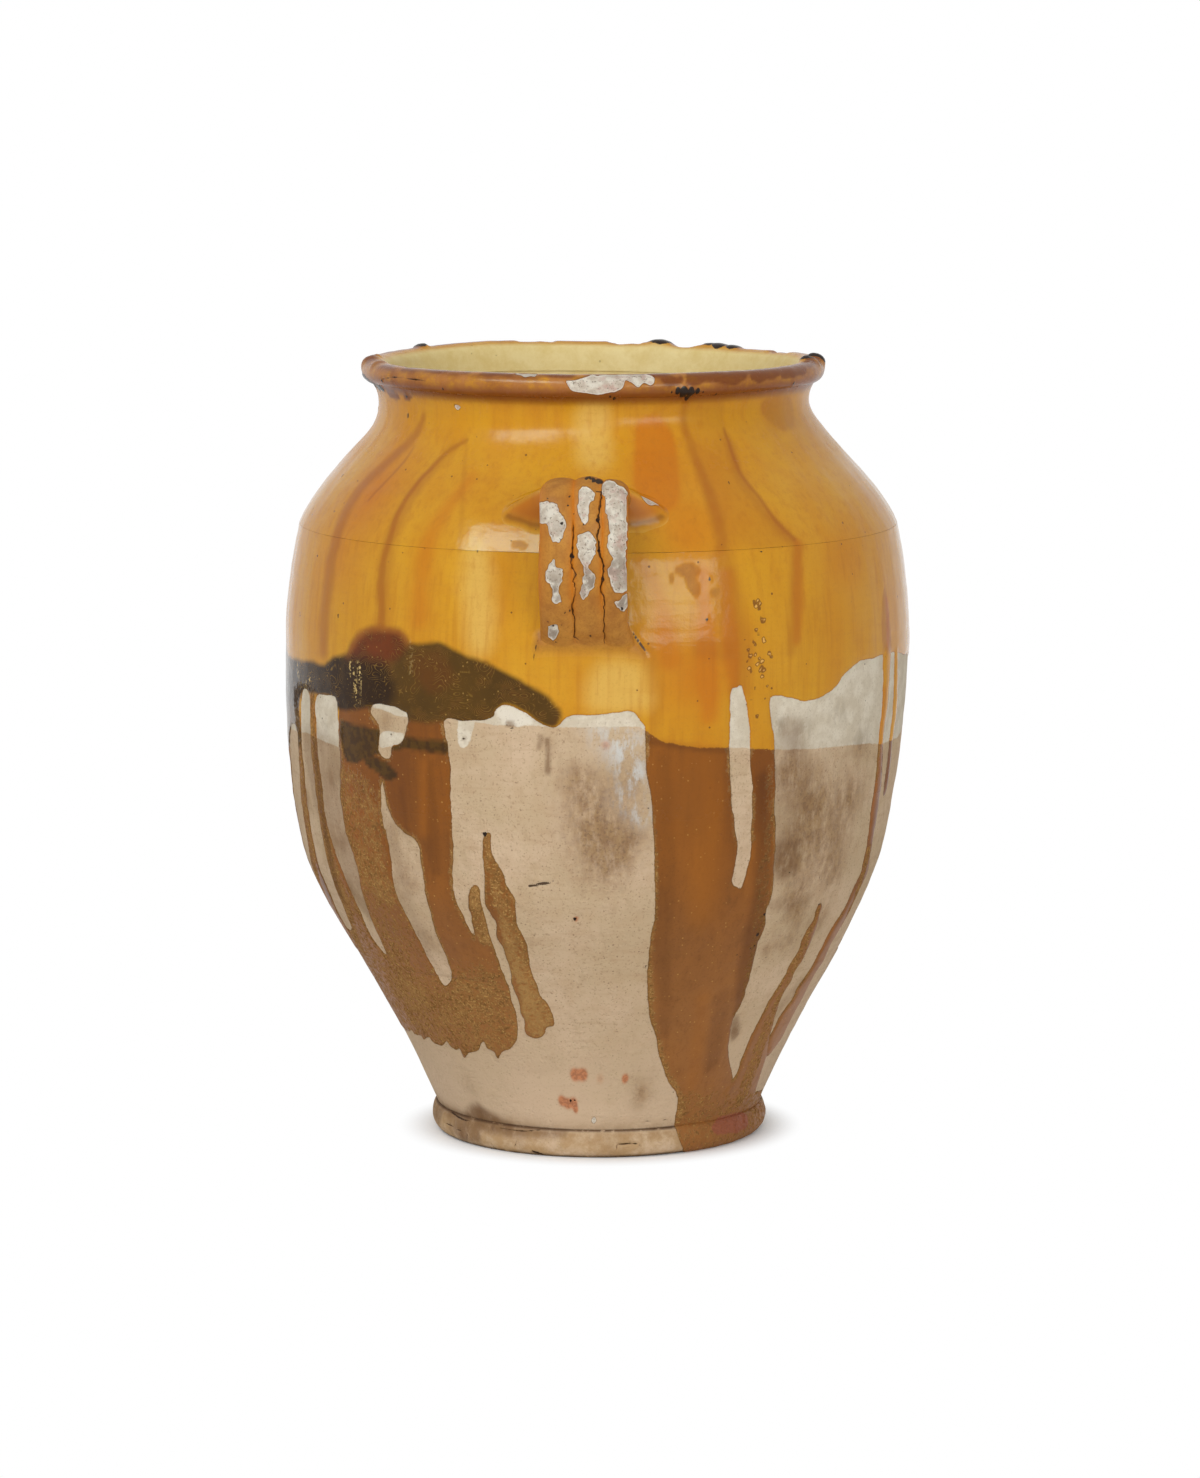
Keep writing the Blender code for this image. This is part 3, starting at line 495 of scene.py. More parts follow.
# Where and how the strap meets the wall
TAIL_FOOT, TAIL_STEEPNESS, TAIL_RADIUS = TAIL_HEIGHT + 0.0013, 1.55, 0.1318
TAIL_BLEND, GLAZE_COAT = 0.0030, 0.0005  # how softly the face runs out into the wall, and the coat on it
STRAP_STATIONS, STRAP_FACE, STRAP_BACK = 260, 161, 46  # points along it, across its face, round its back
RIB_EDGES = (-0.5, -0.115, 0.215, 0.5)  # across the strap, as shares of its width
CROWN_RISES, CROWN_SPREAD = (0.0011, 0.0017, 0.0004), 0.14  # how much the ribs swell over the bend
RIB_DEPTH, RIB_FULLNESS, EDGE_SQUARENESS = 0.0016, 0.55, 6
WING_REACH, WING_RISE = 0.0163, 0.0070  # the luting wings' reach beyond the strap and their height
WING_CREST, WING_DROOP, WING_DEPTH = 0.0020, 0.42, 0.0158  # their ridge, its fall and their depth
FILLET_RISE, FILLET_REACH = 0.0030, 0.0026
LUTING_HALF, LUTING_LOW, LUTING_HIGH = 0.0385, -0.0200, 0.0150  # the patch's reach from the root's middle
LUTING_ROWS, LUTING_COLUMNS = 90, 200
LUTING_THICKNESS, LUTING_SINK = 0.003, 0.0004  # its sheet, and how far its edge lies under the wall's face


def main():
    camera()
    lights()
    world()
    floor()
    clay = jar_material("fired_clay_and_glaze")
    marks = Marks()
    body(marks, clay)
    for side, turn in HANDLE_SIDES.items():
        strap(side, HANDLE_TURN + turn, clay)
        luting(side, HANDLE_TURN + turn, marks, clay)


# Colours


def srgb(red, green, blue):
    """A colour as it looks on a screen, 0 to 255, as the linear one that shaders take."""
    linear = []
    for channel in (red, green, blue):
        share = channel / 255
        linear.append(share / 12.92 if share <= 0.04045 else ((share + 0.055) / 1.055) ** 2.4)
    return (*linear, 1.0)


# Camera, light and stage


EYE = np.array([0.0, -DISTANCE * cos(PITCH), AIM_HEIGHT + DISTANCE * sin(PITCH)])
FORWARD = np.array([0.0, cos(PITCH), -sin(PITCH)])
UPWARD = np.array([0.0, sin(PITCH), cos(PITCH)])
RAY_DEPTHS = np.linspace(DISTANCE - 0.16, DISTANCE + 0.03, 900)  # where a ray may meet the jar's near side
WHITE = (1.0, 1.0, 1.0, 1.0)
SHINE_TINT = (0.62, 1.0, 1.02)  # takes the glaze's warmth out of its reflections
SHINE_GAP = 0.06  # how far a lamp's reflection hangs in front of it
LAMP_AIM = Vector((0.0, 0.0, 0.2))
WORLD_LIGHT = 0.37  # the white world's strength for light that only falls on things
TABLE_TONE, TABLE_REACH = (0.93, 0.93, 0.93, 1.0), 12.0
SHADE_FROM, SHADE_TO = 0.064, 0.088  # the table top turns from shaded to plain white between these radii


def camera():
    data = bpy.data.cameras.new("photo_camera")
    data.sensor_width = SENSOR
    data.lens = SENSOR * FOCAL_PIXELS / PHOTO_HEIGHT
    data.clip_start, data.clip_end = 0.1, 50.0
    view = bpy.data.objects.new("photo_camera", data)
    view.location = EYE
    view.rotation_euler = (pi / 2 - PITCH, 0.0, 0.0)
    bpy.context.scene.collection.objects.link(view)
    bpy.context.scene.camera = view


def softbox(name, azimuth, elevation, distance, width, height, radiance, shine=0.0):
    """A rectangular light facing the jar's belly, with its reflection in the glaze as a lamp of its own.

    Azimuth 0 is the camera's side, positive to its right.
    """
    a, e = radians(azimuth), radians(elevation)
    away = Vector((sin(a) * cos(e), -cos(a) * cos(e), sin(e)))
    for role, strength in (("light", radiance), ("shine", shine)):
        if strength == 0.0:
            continue
        data = bpy.data.lights.new(name + "_" + role, "AREA")
        data.shape = "RECTANGLE"
        data.size, data.size_y = width, height
        data.color = SHINE_TINT if role == "shine" else WHITE[:3]
        data.energy = strength * pi * width * height
        lamp = bpy.data.objects.new(name + "_" + role, data)
        lamp.location = LAMP_AIM + away * (distance - (SHINE_GAP if role == "shine" else 0.0))
        lamp.rotation_euler = (-away).to_track_quat("-Z", "Y").to_euler()
        lamp.visible_glossy = role == "shine"
        lamp.visible_diffuse = role == "light"
        bpy.context.scene.collection.objects.link(lamp)


def lights():
    softbox("right_softbox", 29.0, 11.0, 2.3, 1.15, 0.62, 4.6, 7.6)
    softbox("left_softbox", -37.0, 44.0, 2.3, 1.30, 0.56, 7.4, 16.5)
    softbox("front_fill", -8.0, 22.0, 2.8, 2.0, 1.4, 1.45)


def camera_or_glossy(path):
    """1 for rays that the camera sees straight or in a reflection."""
    return calculate("MAXIMUM", Signal(path.outputs["Is Camera Ray"]), Signal(path.outputs["Is Glossy Ray"]))


def world():
    """White to the camera and in reflections, and a softer white for all other light."""
    made = bpy.data.worlds.new("white_studio")
    bpy.context.scene.world = made
    tree = emptied(made)
    path = add(tree, "ShaderNodeLightPath")
    seen = calculate("MAXIMUM", camera_or_glossy(path), Signal(path.outputs["Is Transmission Ray"]))
    values = {"Color": WHITE, "Strength": (1 - WORLD_LIGHT) * seen + WORLD_LIGHT}
    surface(tree, "ShaderNodeOutputWorld", add(tree, "ShaderNodeBackground", values))
    bpy.context.scene.view_settings.view_transform = "Standard"


def floor():
    """A pale table top that shades under the jar and runs out into white further off."""
    mesh = bpy.data.meshes.new("floor")
    corners = [(x * TABLE_REACH, y * TABLE_REACH, 0) for x, y in ((-1, -1), (1, -1), (1, 1), (-1, 1))]
    mesh.from_pydata(corners, [], [(0, 1, 2, 3)])
    plane = bpy.data.objects.new("floor", mesh)
    bpy.context.scene.collection.objects.link(plane)
    made = bpy.data.materials.new("white_table")
    tree = emptied(made)
    place = Signal(add(tree, "ShaderNodeTexCoord").outputs["Object"])
    away = Signal(add(tree, "ShaderNodeVectorMath", {0: place}, operation="LENGTH").outputs["Value"])
    share = step(away, SHADE_FROM, SHADE_TO) * camera_or_glossy(add(tree, "ShaderNodeLightPath"))
    table = add(tree, "ShaderNodeBsdfDiffuse", {"Color": TABLE_TONE})
    glow = add(tree, "ShaderNodeEmission", {"Color": WHITE, "Strength": 1.0})
    both = {0: share, 1: Signal(table.outputs[0]), 2: Signal(glow.outputs[0])}
    surface(tree, "ShaderNodeOutputMaterial", add(tree, "ShaderNodeMixShader", both))
    mesh.materials.append(made)


# Shape of the wall


def outline(height, levels):
    """Radius of the wall's outer face at heights, from a cubic between the levels on either side."""
    height = np.asarray(height, float)
    rise, radius, lean = np.array(levels).T
    low = np.clip(np.searchsorted(rise, height) - 1, 0, len(rise) - 2)
    span = rise[low + 1] - rise[low]
    t = np.clip((height - rise[low]) / span, 0.0, 1.0)
    return (
        radius[low] * (1 + 2 * t) * (1 - t) ** 2
        + lean[low] * span * t * (1 - t) ** 2
        + radius[low + 1] * t * t * (3 - 2 * t)
        + lean[low + 1] * span * t * t * (t - 1)
    )


def wall_lean(height, levels):
    """Change of the wall's radius for each unit of height."""
    return (outline(height + 1e-5, levels) - outline(height - 1e-5, levels)) / 2e-5


def half_roll(bottom, bulge, top, low, high, angle):
    """Radius and height round a half-round roll, from -90 degrees at its bottom to 90 at its top."""
    start = np.where(angle > 0, top, bottom)
    return start + (bulge - start) * np.cos(angle), (low + high) / 2 + (high - low) / 2 * np.sin(angle)


def outer_radius(height):
    """Radius of the whole outside at a height, with the rolls of foot and rim."""
    height = np.clip(height, 0.0, TOP)
    foot = np.arcsin(np.clip(2 * height / FOOT_TOP - 1, -1, 1))
    rim = np.arcsin(np.clip((2 * height - TOP - COLLAR) / (TOP - COLLAR), -1, 1))
    radius = np.where(height < RIDGE, outline(height, BODY_LEVELS), outline(height, NECK_LEVELS))
    coil = half_roll(FOOT_RADIUS, FOOT_BULGE, FOOT_TOP_RADIUS, 0, FOOT_TOP, foot)[0]
    roll = half_roll(COLLAR_RADIUS, ROLL_RADIUS, CREST_OUTER, COLLAR, TOP, rim)[0]
    return np.where(height > COLLAR, roll, np.where(height < FOOT_TOP, coil, radius))


def lean_at(height):
    heights, shifts = np.array(LEAN).T
    return np.interp(height, heights, shifts)


def on_wall(pixels):
    """Places on the unrolled wall, round and up, that the camera sees in pixels, or nearest to their rays."""
    x, y = np.array(pixels, float).T
    across = np.stack([(x - PHOTO_WIDTH / 2) / FOCAL_PIXELS, np.zeros_like(x), np.zeros_like(x)], 1)
    ray = FORWARD + across + UPWARD * ((PHOTO_HEIGHT / 2 - y) / FOCAL_PIXELS)[:, None]
    place = EYE + RAY_DEPTHS[:, None, None] * ray
    away = np.hypot(place[..., 0] - lean_at(place[..., 2]), place[..., 1]) - outer_radius(place[..., 2])
    inside = away < 0
    first = np.where(inside.any(0), inside.argmax(0), away.argmin(0))
    hit = place[first, np.arange(len(x))]
    angle = np.arctan2(hit[:, 0] - lean_at(hit[:, 2]), -hit[:, 1])
    return np.stack([angle * UNROLL, hit[:, 2]], 1)


def from_degrees(points):
    """The unrolled wall's coordinates of points given as degrees and millimetres of height."""
    angle, height = np.array(points, float).T
    return np.stack([np.radians(angle) * UNROLL, height / 1000], 1)


# Marks on the wall


def ripple(angle, height, around, step_up, seed):
    """Smooth noise from -1 to 1 on the wall, from a number of cells round it and the height of a cell."""
    random = np.random.default_rng(seed)
    rows = int(1.0 / step_up) + 4
    lattice = random.uniform(-1, 1, (around, rows))
    a = (np.asarray(angle) / (2 * pi)) % 1.0 * around
    b = (np.asarray(height) + 0.25) / step_up
    i, j = np.floor(a).astype(int), np.floor(b).astype(int)
    s, t = a - i, b - j
    s, t = s * s * (3 - 2 * s), t * t * (3 - 2 * t)
    i, after, j = i % around, (i + 1) % around, np.clip(j, 0, rows - 2)
    low = lattice[i, j] * (1 - s) + lattice[after, j] * s
    high = lattice[i, j + 1] * (1 - s) + lattice[after, j + 1] * s
    return low * (1 - t) + high * t


def ease(value, low, high):
    """0 below low, 1 above high, and smooth between."""
    t = np.clip((value - low) / (high - low), 0.0, 1.0)
    return t * t * (3 - 2 * t)


def rounded(points, closed=True, steps=3):
    """More points along an outline, on a smooth curve through the given ones."""
    points = np.asarray(points, float)
    count = len(points)
    result = []
    for i in range(count if closed else count - 1):
        if closed:
            a, b, c, d = (points[(i + k) % count] for k in (-1, 0, 1, 2))
        else:
            a, b, c, d = (points[min(max(i + k, 0), count - 1)] for k in (-1, 0, 1, 2))
        for k in range(steps):
            t = k / steps
            curve = 2 * b + (c - a) * t + (2 * a - 5 * b + 4 * c - d) * t**2 + (3 * b - a - 3 * c + d) * t**3
            result.append(curve / 2)
    if not closed:
        result.append(points[-1])
    return np.array(result)


def near_shape(low, high, u, v):
    """Which points lie within a box round a shape."""
    return (u > low[0]) & (u < high[0]) & (v > low[1]) & (v < high[1])


def to_segment(a, b, u, v):
    """How far along the segment from a to b points lie, as a share, and their distance from it squared."""
    across, rise = b[0] - a[0], b[1] - a[1]
    share = np.clip(((u - a[0]) * across + (v - a[1]) * rise) / (across**2 + rise**2 + 1e-18), 0, 1)
    return share, (u - a[0] - share * across) ** 2 + (v - a[1] - share * rise) ** 2


def within(shape, u, v, reach=EDGE_REACH):
    """Signed distance into a closed outline: above zero inside it, and kept within reach."""
    near = near_shape(shape.min(0) - reach, shape.max(0) + reach, u, v)
    result = np.full(u.shape, -reach)
    pu, pv = u[near], v[near]
    best = np.full(pu.shape, np.inf)
    odd = np.zeros(pu.shape, bool)
    for a, b in zip(shape, np.roll(shape, -1, axis=0)):
        best = np.minimum(best, to_segment(a, b, pu, pv)[1])
        if a[1] != b[1]:
            odd ^= ((a[1] > pv) != (b[1] > pv)) & (pu < a[0] + (pv - a[1]) / (b[1] - a[1]) * (b[0] - a[0]))
    best = np.sqrt(best)
    result[near] = np.clip(np.where(odd, best, -best), -reach, reach)
    return result


def along(line, u, v, reach=EDGE_REACH):
    """Signed distance into a line of changing width. Its points are places with half the width there."""
    line = np.asarray(line, float)
    widest = line[:, 2].max() + reach
    near = near_shape(line[:, :2].min(0) - widest, line[:, :2].max(0) + widest, u, v)
    result = np.full(u.shape, -reach)
    pu, pv = u[near], v[near]
    best = np.full(pu.shape, -np.inf)
    for a, b in zip(line, line[1:]):
        share, squared = to_segment(a, b, pu, pv)
        best = np.maximum(best, a[2] + (b[2] - a[2]) * share - np.sqrt(squared))
    result[near] = np.clip(best, -reach, reach)
    return result


def covering(shapes, u, v, reach=EDGE_REACH, measure=within):
    """Signed distance into the nearest of several outlines, or of several lines measured along them."""
    result = np.full(u.shape, -reach)
    for shape in shapes:
        result = np.maximum(result, measure(shape, u, v, reach))
    return result


def spot(u, v, centre, radius):
    """1 at a round smudge's centre, fading to 0 at about twice its radius."""
    return np.exp(-((u - centre[0]) ** 2 + (v - centre[1]) ** 2) / radius**2)


def dots(spots, u, v):
    """Signed distance into the nearest of several round dots."""
    result = np.full(u.shape, -EDGE_REACH)
    for centre, radius in spots:
        result = np.maximum(result, radius - np.hypot(u - centre[0], v - centre[1]))
    return result


def wall_line(points):
    """A line given in pixels, with half-widths in pixels, on the unrolled wall."""
    points = np.array(points, float)
    place = on_wall(points[:, :2])
    stretch = UNROLL / outer_radius(place[:, 1])
    return rounded(np.column_stack([place, points[:, 2] * PIXEL * np.sqrt(stretch)]), closed=False)


def wall_shape(points):
    return rounded(on_wall(points))


def soft_shapes(places):
    """Outlines on the unrolled wall, each with its softness in metres and its strength."""
    return [(wall_shape(points), softness * PIXEL, strength) for points, softness, strength in places]


def soft_lines(places):
    return [(wall_line(points), softness * PIXEL, strength) for points, softness, strength in places]


def wall_spots(spots):
    """Centres on the unrolled wall, radii and any strengths of round spots given in pixels."""
    spots = np.array(spots, float)
    return list(zip(on_wall(spots[:, :2]), spots[:, 2] * PIXEL, *spots[:, 3:].T))


def wrapped_angle(angle):
    return (angle + pi) % (2 * pi) - pi


def wrapped(u, centre):
    """Distance round the wall from a place, the short way."""
    turn = 2 * pi * UNROLL
    return (u - centre + turn / 2) % turn - turn / 2


# Marks that are distances into a shape, below zero outside it, and marks that are shares from 0 to 1
DISTANCES = ("glaze", "run", "slip", "stain", "foot_red", "burnt", "chip", "crack", "pimple")
SHARES = (
    "olive", "deep", "pale", "dirt", "whitened", "weather", "bloom", "rust", "red", "dark", "gold", "crust",
    "orange", "brown", "dull", "inside", "furrow", "worn",
)
# The marks of a place where glaze and slip cover the clay and nothing else is there
PLAIN_MARKS = {key: EDGE_REACH if key in ("glaze", "slip") else -EDGE_REACH for key in DISTANCES}
PLAIN_MARKS.update({key: 0.0 for key in SHARES + ("up",)})


def rear_runs(u, v):
    """Signed distance into the nearest run round the rear, and how far streaks above the runs darken."""
    runs, deep = np.full(u.shape, -EDGE_REACH), np.zeros(u.shape)
    for degrees, high, low, width in REAR_RUNS:
        run = [(0, high, width / 1.5), (0.4, (high + low) / 2, width / 1.2), (0, low, width)]
        streak = [(0, 300, width / 2), (2, high + 30, width), (0, high, width / 0.7)]
        beside = wrapped(u, radians(degrees) * UNROLL)
        runs = np.maximum(runs, along(np.array(run) / 1000, beside, v))
        deep = np.maximum(deep, width / 4.5 * ease(along(np.array(streak) / 1000, beside, v), -0.004, 0.002))
    return runs, deep


def black_slag(u, v):
    """Signed distance into the nearest black lump of slag on the rim."""
    result = np.full(u.shape, -EDGE_REACH)
    for degrees, share, radius, _, black in SLAG_LUMPS:
        if black:
            turn = wrapped(u, radians(degrees) * UNROLL) * CREST_OUTER / UNROLL
            result = np.maximum(result, 0.9 * radius - np.hypot(turn, v - TOP - share * RIM_BREADTH))
    return result


class Marks:
    """Where the jar's coats and blemishes lie on the unrolled wall. Made once, then asked for any points."""

    def __init__(self):
        edge = [from_degrees(GLAZE_EDGE_LEFT), on_wall(GLAZE_EDGE_FRONT), from_degrees(GLAZE_EDGE_RIGHT)]
        edge = rounded(np.concatenate(edge), closed=False)
        self.glaze = np.concatenate([edge, [(edge[-1, 0], 1.0), (edge[0, 0], 1.0)]])
        slip = np.concatenate([on_wall(SLIP_EDGE_FRONT), from_degrees(SLIP_EDGE_REAR)])
        slip = slip[np.argsort(slip[:, 0])]
        turn = np.array([2 * pi * UNROLL, 0.0])
        self.slip_edge = np.concatenate([slip - turn, slip, slip + turn])
        places = {
            "bare": BARE_PLACES, "run": RUN_PLACES, "slip": SLIP_PLACES, "stain": [STAIN],
            "pale": PALE_GLAZE, "foot_red": [FOOT_RED], "chip": RIM_CHIPS + [WING_CHIP], "brown": RIM_BROWN,
        }
        self.shapes = {key: [wall_shape(points) for points in outlines] for key, outlines in places.items()}
        self.shapes["stain"].append(rounded(from_degrees(STAIN_REAR)))
        self.cracks = [wall_line(crack) for crack in [SLIT] + TAIL_CRACKS + FOOT_CRACKS]
        self.burnt_place, self.burnt_spots = rounded(from_degrees(BURNT_PLACE)), wall_spots(BURNT_SPOTS)
        self.pimples = [(centre, PIMPLE_GROWTH * radius) for centre, radius in wall_spots(PIMPLES)]
        self.soft = {
            "olive": [(wall_shape(points), OLIVE_SOFTNESS, 1.0) for points in OLIVE_PLACES],
            "deep": soft_lines(STREAKS) + soft_shapes(DEEP_PLACES),
            "red": soft_shapes(STAIN_RED),
            "dark": soft_shapes(STAIN_DARK),
            "crust": soft_shapes(CRUST_PLACES) + soft_lines(CRUST_LINES),
            "gold": soft_lines(GOLD_LINES),
            "orange": soft_lines(ORANGE_LINES),
            "dirt": soft_lines(DIRT_AND_SHADE_LINES) + soft_shapes(DIRT_PLACES),
            "whitened": soft_shapes(WHITE_PLACES),
            "flaked": soft_shapes(FLAKED_PLACES),
        }
        smudges = {"weather": WEATHER, "bloom": BLOOM, "rust": RUST, "orange": ORANGE}
        self.smudges = {key: wall_spots(spots) for key, spots in smudges.items()}

    def softened(self, key, u, v):
        """How far the soft-edged places and lines of a kind cover points."""
        total = np.zeros(u.shape)
        for points, softness, strength in self.soft[key]:
            measure = along if points.shape[1] == 3 else within
            distance = measure(points, u, v, max(softness, EDGE_REACH))
            share = strength * ease(distance, -softness, softness * 0.4)
            total = total + share - total * share
        return total

    def smudged(self, key, u, v):
        """How far the round smudges of a kind cover points."""
        return sum(strength * spot(u, v, centre, radius) for centre, radius, strength in self.smudges[key])

    def at(self, angle, up):
        """All marks at points, given as angles and heights; up goes on over the rim and down inside."""
        angle = wrapped_angle(angle)
        u, v = angle * UNROLL, up
        far = ease(np.abs(angle), 1.5, 1.9)
        rear = 1 + 2.0 * far
        ragged_u = u + 0.0005 * rear * ripple(angle, v, 90, 0.009, 11)
        ragged_v = v + 0.0006 * rear * ripple(angle, v, 90, 0.009, 13)
        ragged_u = ragged_u + 0.0003 * ripple(angle, v, 260, 0.003, 12)
        ragged_v = ragged_v + 0.0003 * ripple(angle, v, 260, 0.003, 14)
        place = ragged_u, ragged_v
        soft = {key: self.softened(key, *place) for key in self.soft}
        found = {key: covering(self.shapes[key], *place) for key in ("run", "stain", "foot_red", "chip")}
        found.update({key: soft[key] for key in ("olive", "red", "dark", "gold", "dirt", "whitened")})

        runs, streaks = rear_runs(*place)
        found["run"] = np.maximum(found["run"], runs)
        found["deep"] = np.maximum(soft["deep"], streaks)
        glaze = np.minimum(within(self.glaze, *place), -covering(self.shapes["bare"], *place))
        glaze = np.maximum(glaze, found["run"])
        slip = v - np.interp(u, *self.slip_edge.T) + 0.0006 * ripple(angle, v, 60, 0.02, 15)
        slip = np.maximum(slip, covering(self.shapes["slip"], *place))
        found["glaze"], found["slip"] = glaze, slip

        smudged = {key: self.smudged(key, u, v) for key in self.smudges}
        smudged["orange"] += soft["orange"]
        smudged["weather"] += far * ease(ripple(angle, v, 14, 0.04, 21), 0.1, 0.9)
        smudged["rust"] += far * 0.6 * ease(ripple(angle, v, 90, 0.008, 22), 0.80, 1.0)
        thin = (1 - ease(glaze, 0.0005, 0.0025)) * ease(ripple(angle, v, 60, 0.02, 25), -0.6, 0.3)
        rear_crust = far * (slip < -0.004) * ease(ripple(angle, v, 16, 0.05, 23), 0.2, 0.8)
        smudged["crust"] = np.maximum.reduce([soft["crust"], 0.8 * thin * (slip < 0), rear_crust])
        found.update({key: np.clip(values, 0, 1) for key, values in smudged.items()})

        burnt = np.maximum(within(self.burnt_place, *place), dots(self.burnt_spots, u, v))
        found["burnt"] = np.maximum(burnt, black_slag(*place))
        brown = ease(covering(self.shapes["brown"], *place), -0.0006, 0.0003)
        worn_rim = ease(ripple(angle, v, 120, 0.002, 24), -0.9, 0.3)
        found["brown"] = np.maximum(brown, worn_rim * np.exp(-(((v - TOP + 0.0004) / 0.0014) ** 2)))
        found["pale"] = ease(covering(self.shapes["pale"], *place, 0.008), -0.007, 0.004)
        found["crack"] = covering(self.cracks, u, v, measure=along)
        found["pimple"] = dots(self.pimples, u, v)
        found["inside"] = ease(v, TOP + 0.003, TOP + 0.006)
        found["dull"] = ease(v, COLLAR - 0.003, COLLAR + 0.002) * (1 - ease(v, TOP + 0.001, TOP + 0.003))
        found["worn"] = np.maximum(tail_smear(angle, v)[1], soft["flaked"])
        found["furrow"] = np.zeros(u.shape)
        found["up"] = v
        return found


def tail_smear(angle, up):
    """The clay smoothed down from the straps' tails: its rise, and how far it has the strap's tone."""
    rise, tone = np.zeros(np.shape(angle)), np.zeros(np.shape(angle))
    for turn in HANDLE_SIDES.values():
        side = wrapped_angle(angle - HANDLE_TURN - turn) * TAIL_RADIUS
        face = TAIL_STEEPNESS * (up - TAIL_FOOT) + side**2 / (2 * TAIL_RADIUS)
        spread = ease(TAIL_FOOT + 0.0060 - up, 0.0, 0.0120)
        edge = STRAP_WIDTH / 2 + np.where(side > 0, 0.0070, 0.0015) * spread
        lateral = 1 - ease(np.abs(side) - edge, -0.0010, 0.0034)
        low = 0.0011 * np.exp(-(((up - TAIL_FOOT + 0.0025) / 0.0085) ** 2))
        beside = np.maximum(np.abs(side) - STRAP_WIDTH / 2, 0)
        fillet = 0.0024 * np.exp(-beside / 0.0024)
        fillet = fillet * ease(face, -0.0060, 0.0010) * (1 - ease(face, 0.0040, 0.0110))
        rise += np.maximum(lateral * low, fillet)
        tone += lateral * ease(face, -0.0100, 0.0040) * (1 - ease(face, 0.0085, 0.0120))
    return rise, np.clip(tone, 0, 1)


def relief(angle, up, marks):
    """How far the real surface stands off the smooth wall: throwing rings, dents, coats and chips."""
    outside = 1 - ease(up, TOP + 0.004, TOP + 0.010)
    dents = 0.0005 * ripple(angle, up, 6, 0.09, 1) + 0.0002 * ripple(angle, up, 14, 0.03, 2)
    rings = 0.00016 * ripple(angle, up, 3, 0.011, 3) + 0.00007 * ripple(angle, up, 5, 0.0036, 4)
    coat = 0.00042 * ease(marks["glaze"], -0.0002, 0.0011) + 0.00010 * ease(marks["slip"], -0.0003, 0.0006)
    thick_runs = 0.00035 * ease(marks["run"], 0.0, 0.0030)
    flow = 0.00008 * ripple(angle, up, 110, 0.06, 5) * ease(marks["glaze"], 0.0, 0.002)
    chips = 0.0006 * ease(marks["chip"], -0.0002, 0.0008) + 0.0007 * ease(marks["crack"], -0.0003, 0.0003)
    slag = 0.0004 * ease(marks["burnt"], -0.0004, 0.0008) + 0.00022 * ease(marks["pimple"], -0.0003, 0.0005)
    seam = 0.00003 + 0.00035 * ease(np.abs(angle), 1.15, 1.5)
    seam = seam * ease(ripple(angle, up, 30, 0.2, 6), -0.4, 0.6)
    seam = seam * np.exp(-(((up - BASE_SEAM) / 0.0008) ** 2))
    raised = dents + rings + (coat + thick_runs + flow) * outside + slag + tail_smear(angle, up)[0]
    return raised - chips - seam


def rim_relief(angle, up):
    """Lumps of slag and chipped stretches on the rim, as a rise along the surface's normal."""
    across = up - TOP
    rise = np.zeros(np.shape(angle))
    for degrees, share, radius, height, _ in SLAG_LUMPS:
        turn = wrapped_angle(angle - radians(degrees)) * CREST_OUTER
        rise += height * np.exp(-((turn / radius) ** 2) - ((across - share * RIM_BREADTH) / radius) ** 2)
    for start, end, depth in REAR_RIM_CHIPS:
        middle, half = radians((start + end) / 2), radians((end - start) / 2)
        edge = 1 - ease(np.abs(wrapped_angle(angle - middle)), half * 0.75, half * 1.05)
        ragged = 1 + 0.5 * ripple(angle, up, 200, 0.01, 31)
        rise -= depth * edge * ragged * np.exp(-((across / RIM_BREADTH) ** 2))
    return rise


def rim_warp(angle, height):
    rise = np.zeros(np.shape(angle))
    for degrees, spread, amount in RIM_WARP:
        rise += amount * np.exp(-((wrapped_angle(angle - radians(degrees)) / radians(spread)) ** 2))
    return rise * ease(height, 0.300, 0.326)


# Meshes


def angles(columns):
    """Angles of the columns round the jar, closer together at the front."""
    even = np.arange(columns) / columns * 2 * pi
    return even - FRONT_FINENESS * np.sin(even)


class Row:
    """A ring of the jar's surface: radius, height, the place along the surface and the columns round it."""

    def __init__(self, radius, height, up, columns, out=(0.0, 0.0)):
        self.radius, self.height, self.up, self.columns, self.out = radius, height, up, columns, out


def rows_along(radii, heights, ups, columns):
    """Rows along a profile, each with the profile's outward normal."""
    radii, heights, ups = (np.asarray(values, float) for values in (radii, heights, ups))
    run, rise = np.gradient(radii), np.gradient(heights)
    length = np.hypot(run, rise)
    return [
        Row(r, z, up, columns, (dz / n, -dr / n))
        for r, z, up, dr, dz, n in zip(radii, heights, ups, run, rise, length)
    ]


def wall_rows(low, high, levels):
    """Outer and inner rows of a stretch of wall. The inner ones go back down."""
    count = round((high - low) / ROW)
    heights = np.linspace(low, high, count + 1)
    lengths = np.hypot(np.diff(outline(heights, levels)), np.diff(heights))
    count = round(lengths.sum() / ROW)
    run = np.concatenate([[0], lengths.cumsum()])
    heights = np.interp(np.linspace(0, lengths.sum(), count + 1), run, heights)
    outer = rows_along(outline(heights, levels), heights, heights, COLUMNS)
    count = max(3, round((high - low) / INSIDE_ROW))
    heights = np.linspace(high, low, count + 1)
    radii = outline(heights, levels)
    thickness = WALL * np.hypot(1, np.gradient(radii, heights))
    inner = rows_along(radii - thickness, heights, 2 * TOP - heights, FEW_COLUMNS)
    return outer, inner


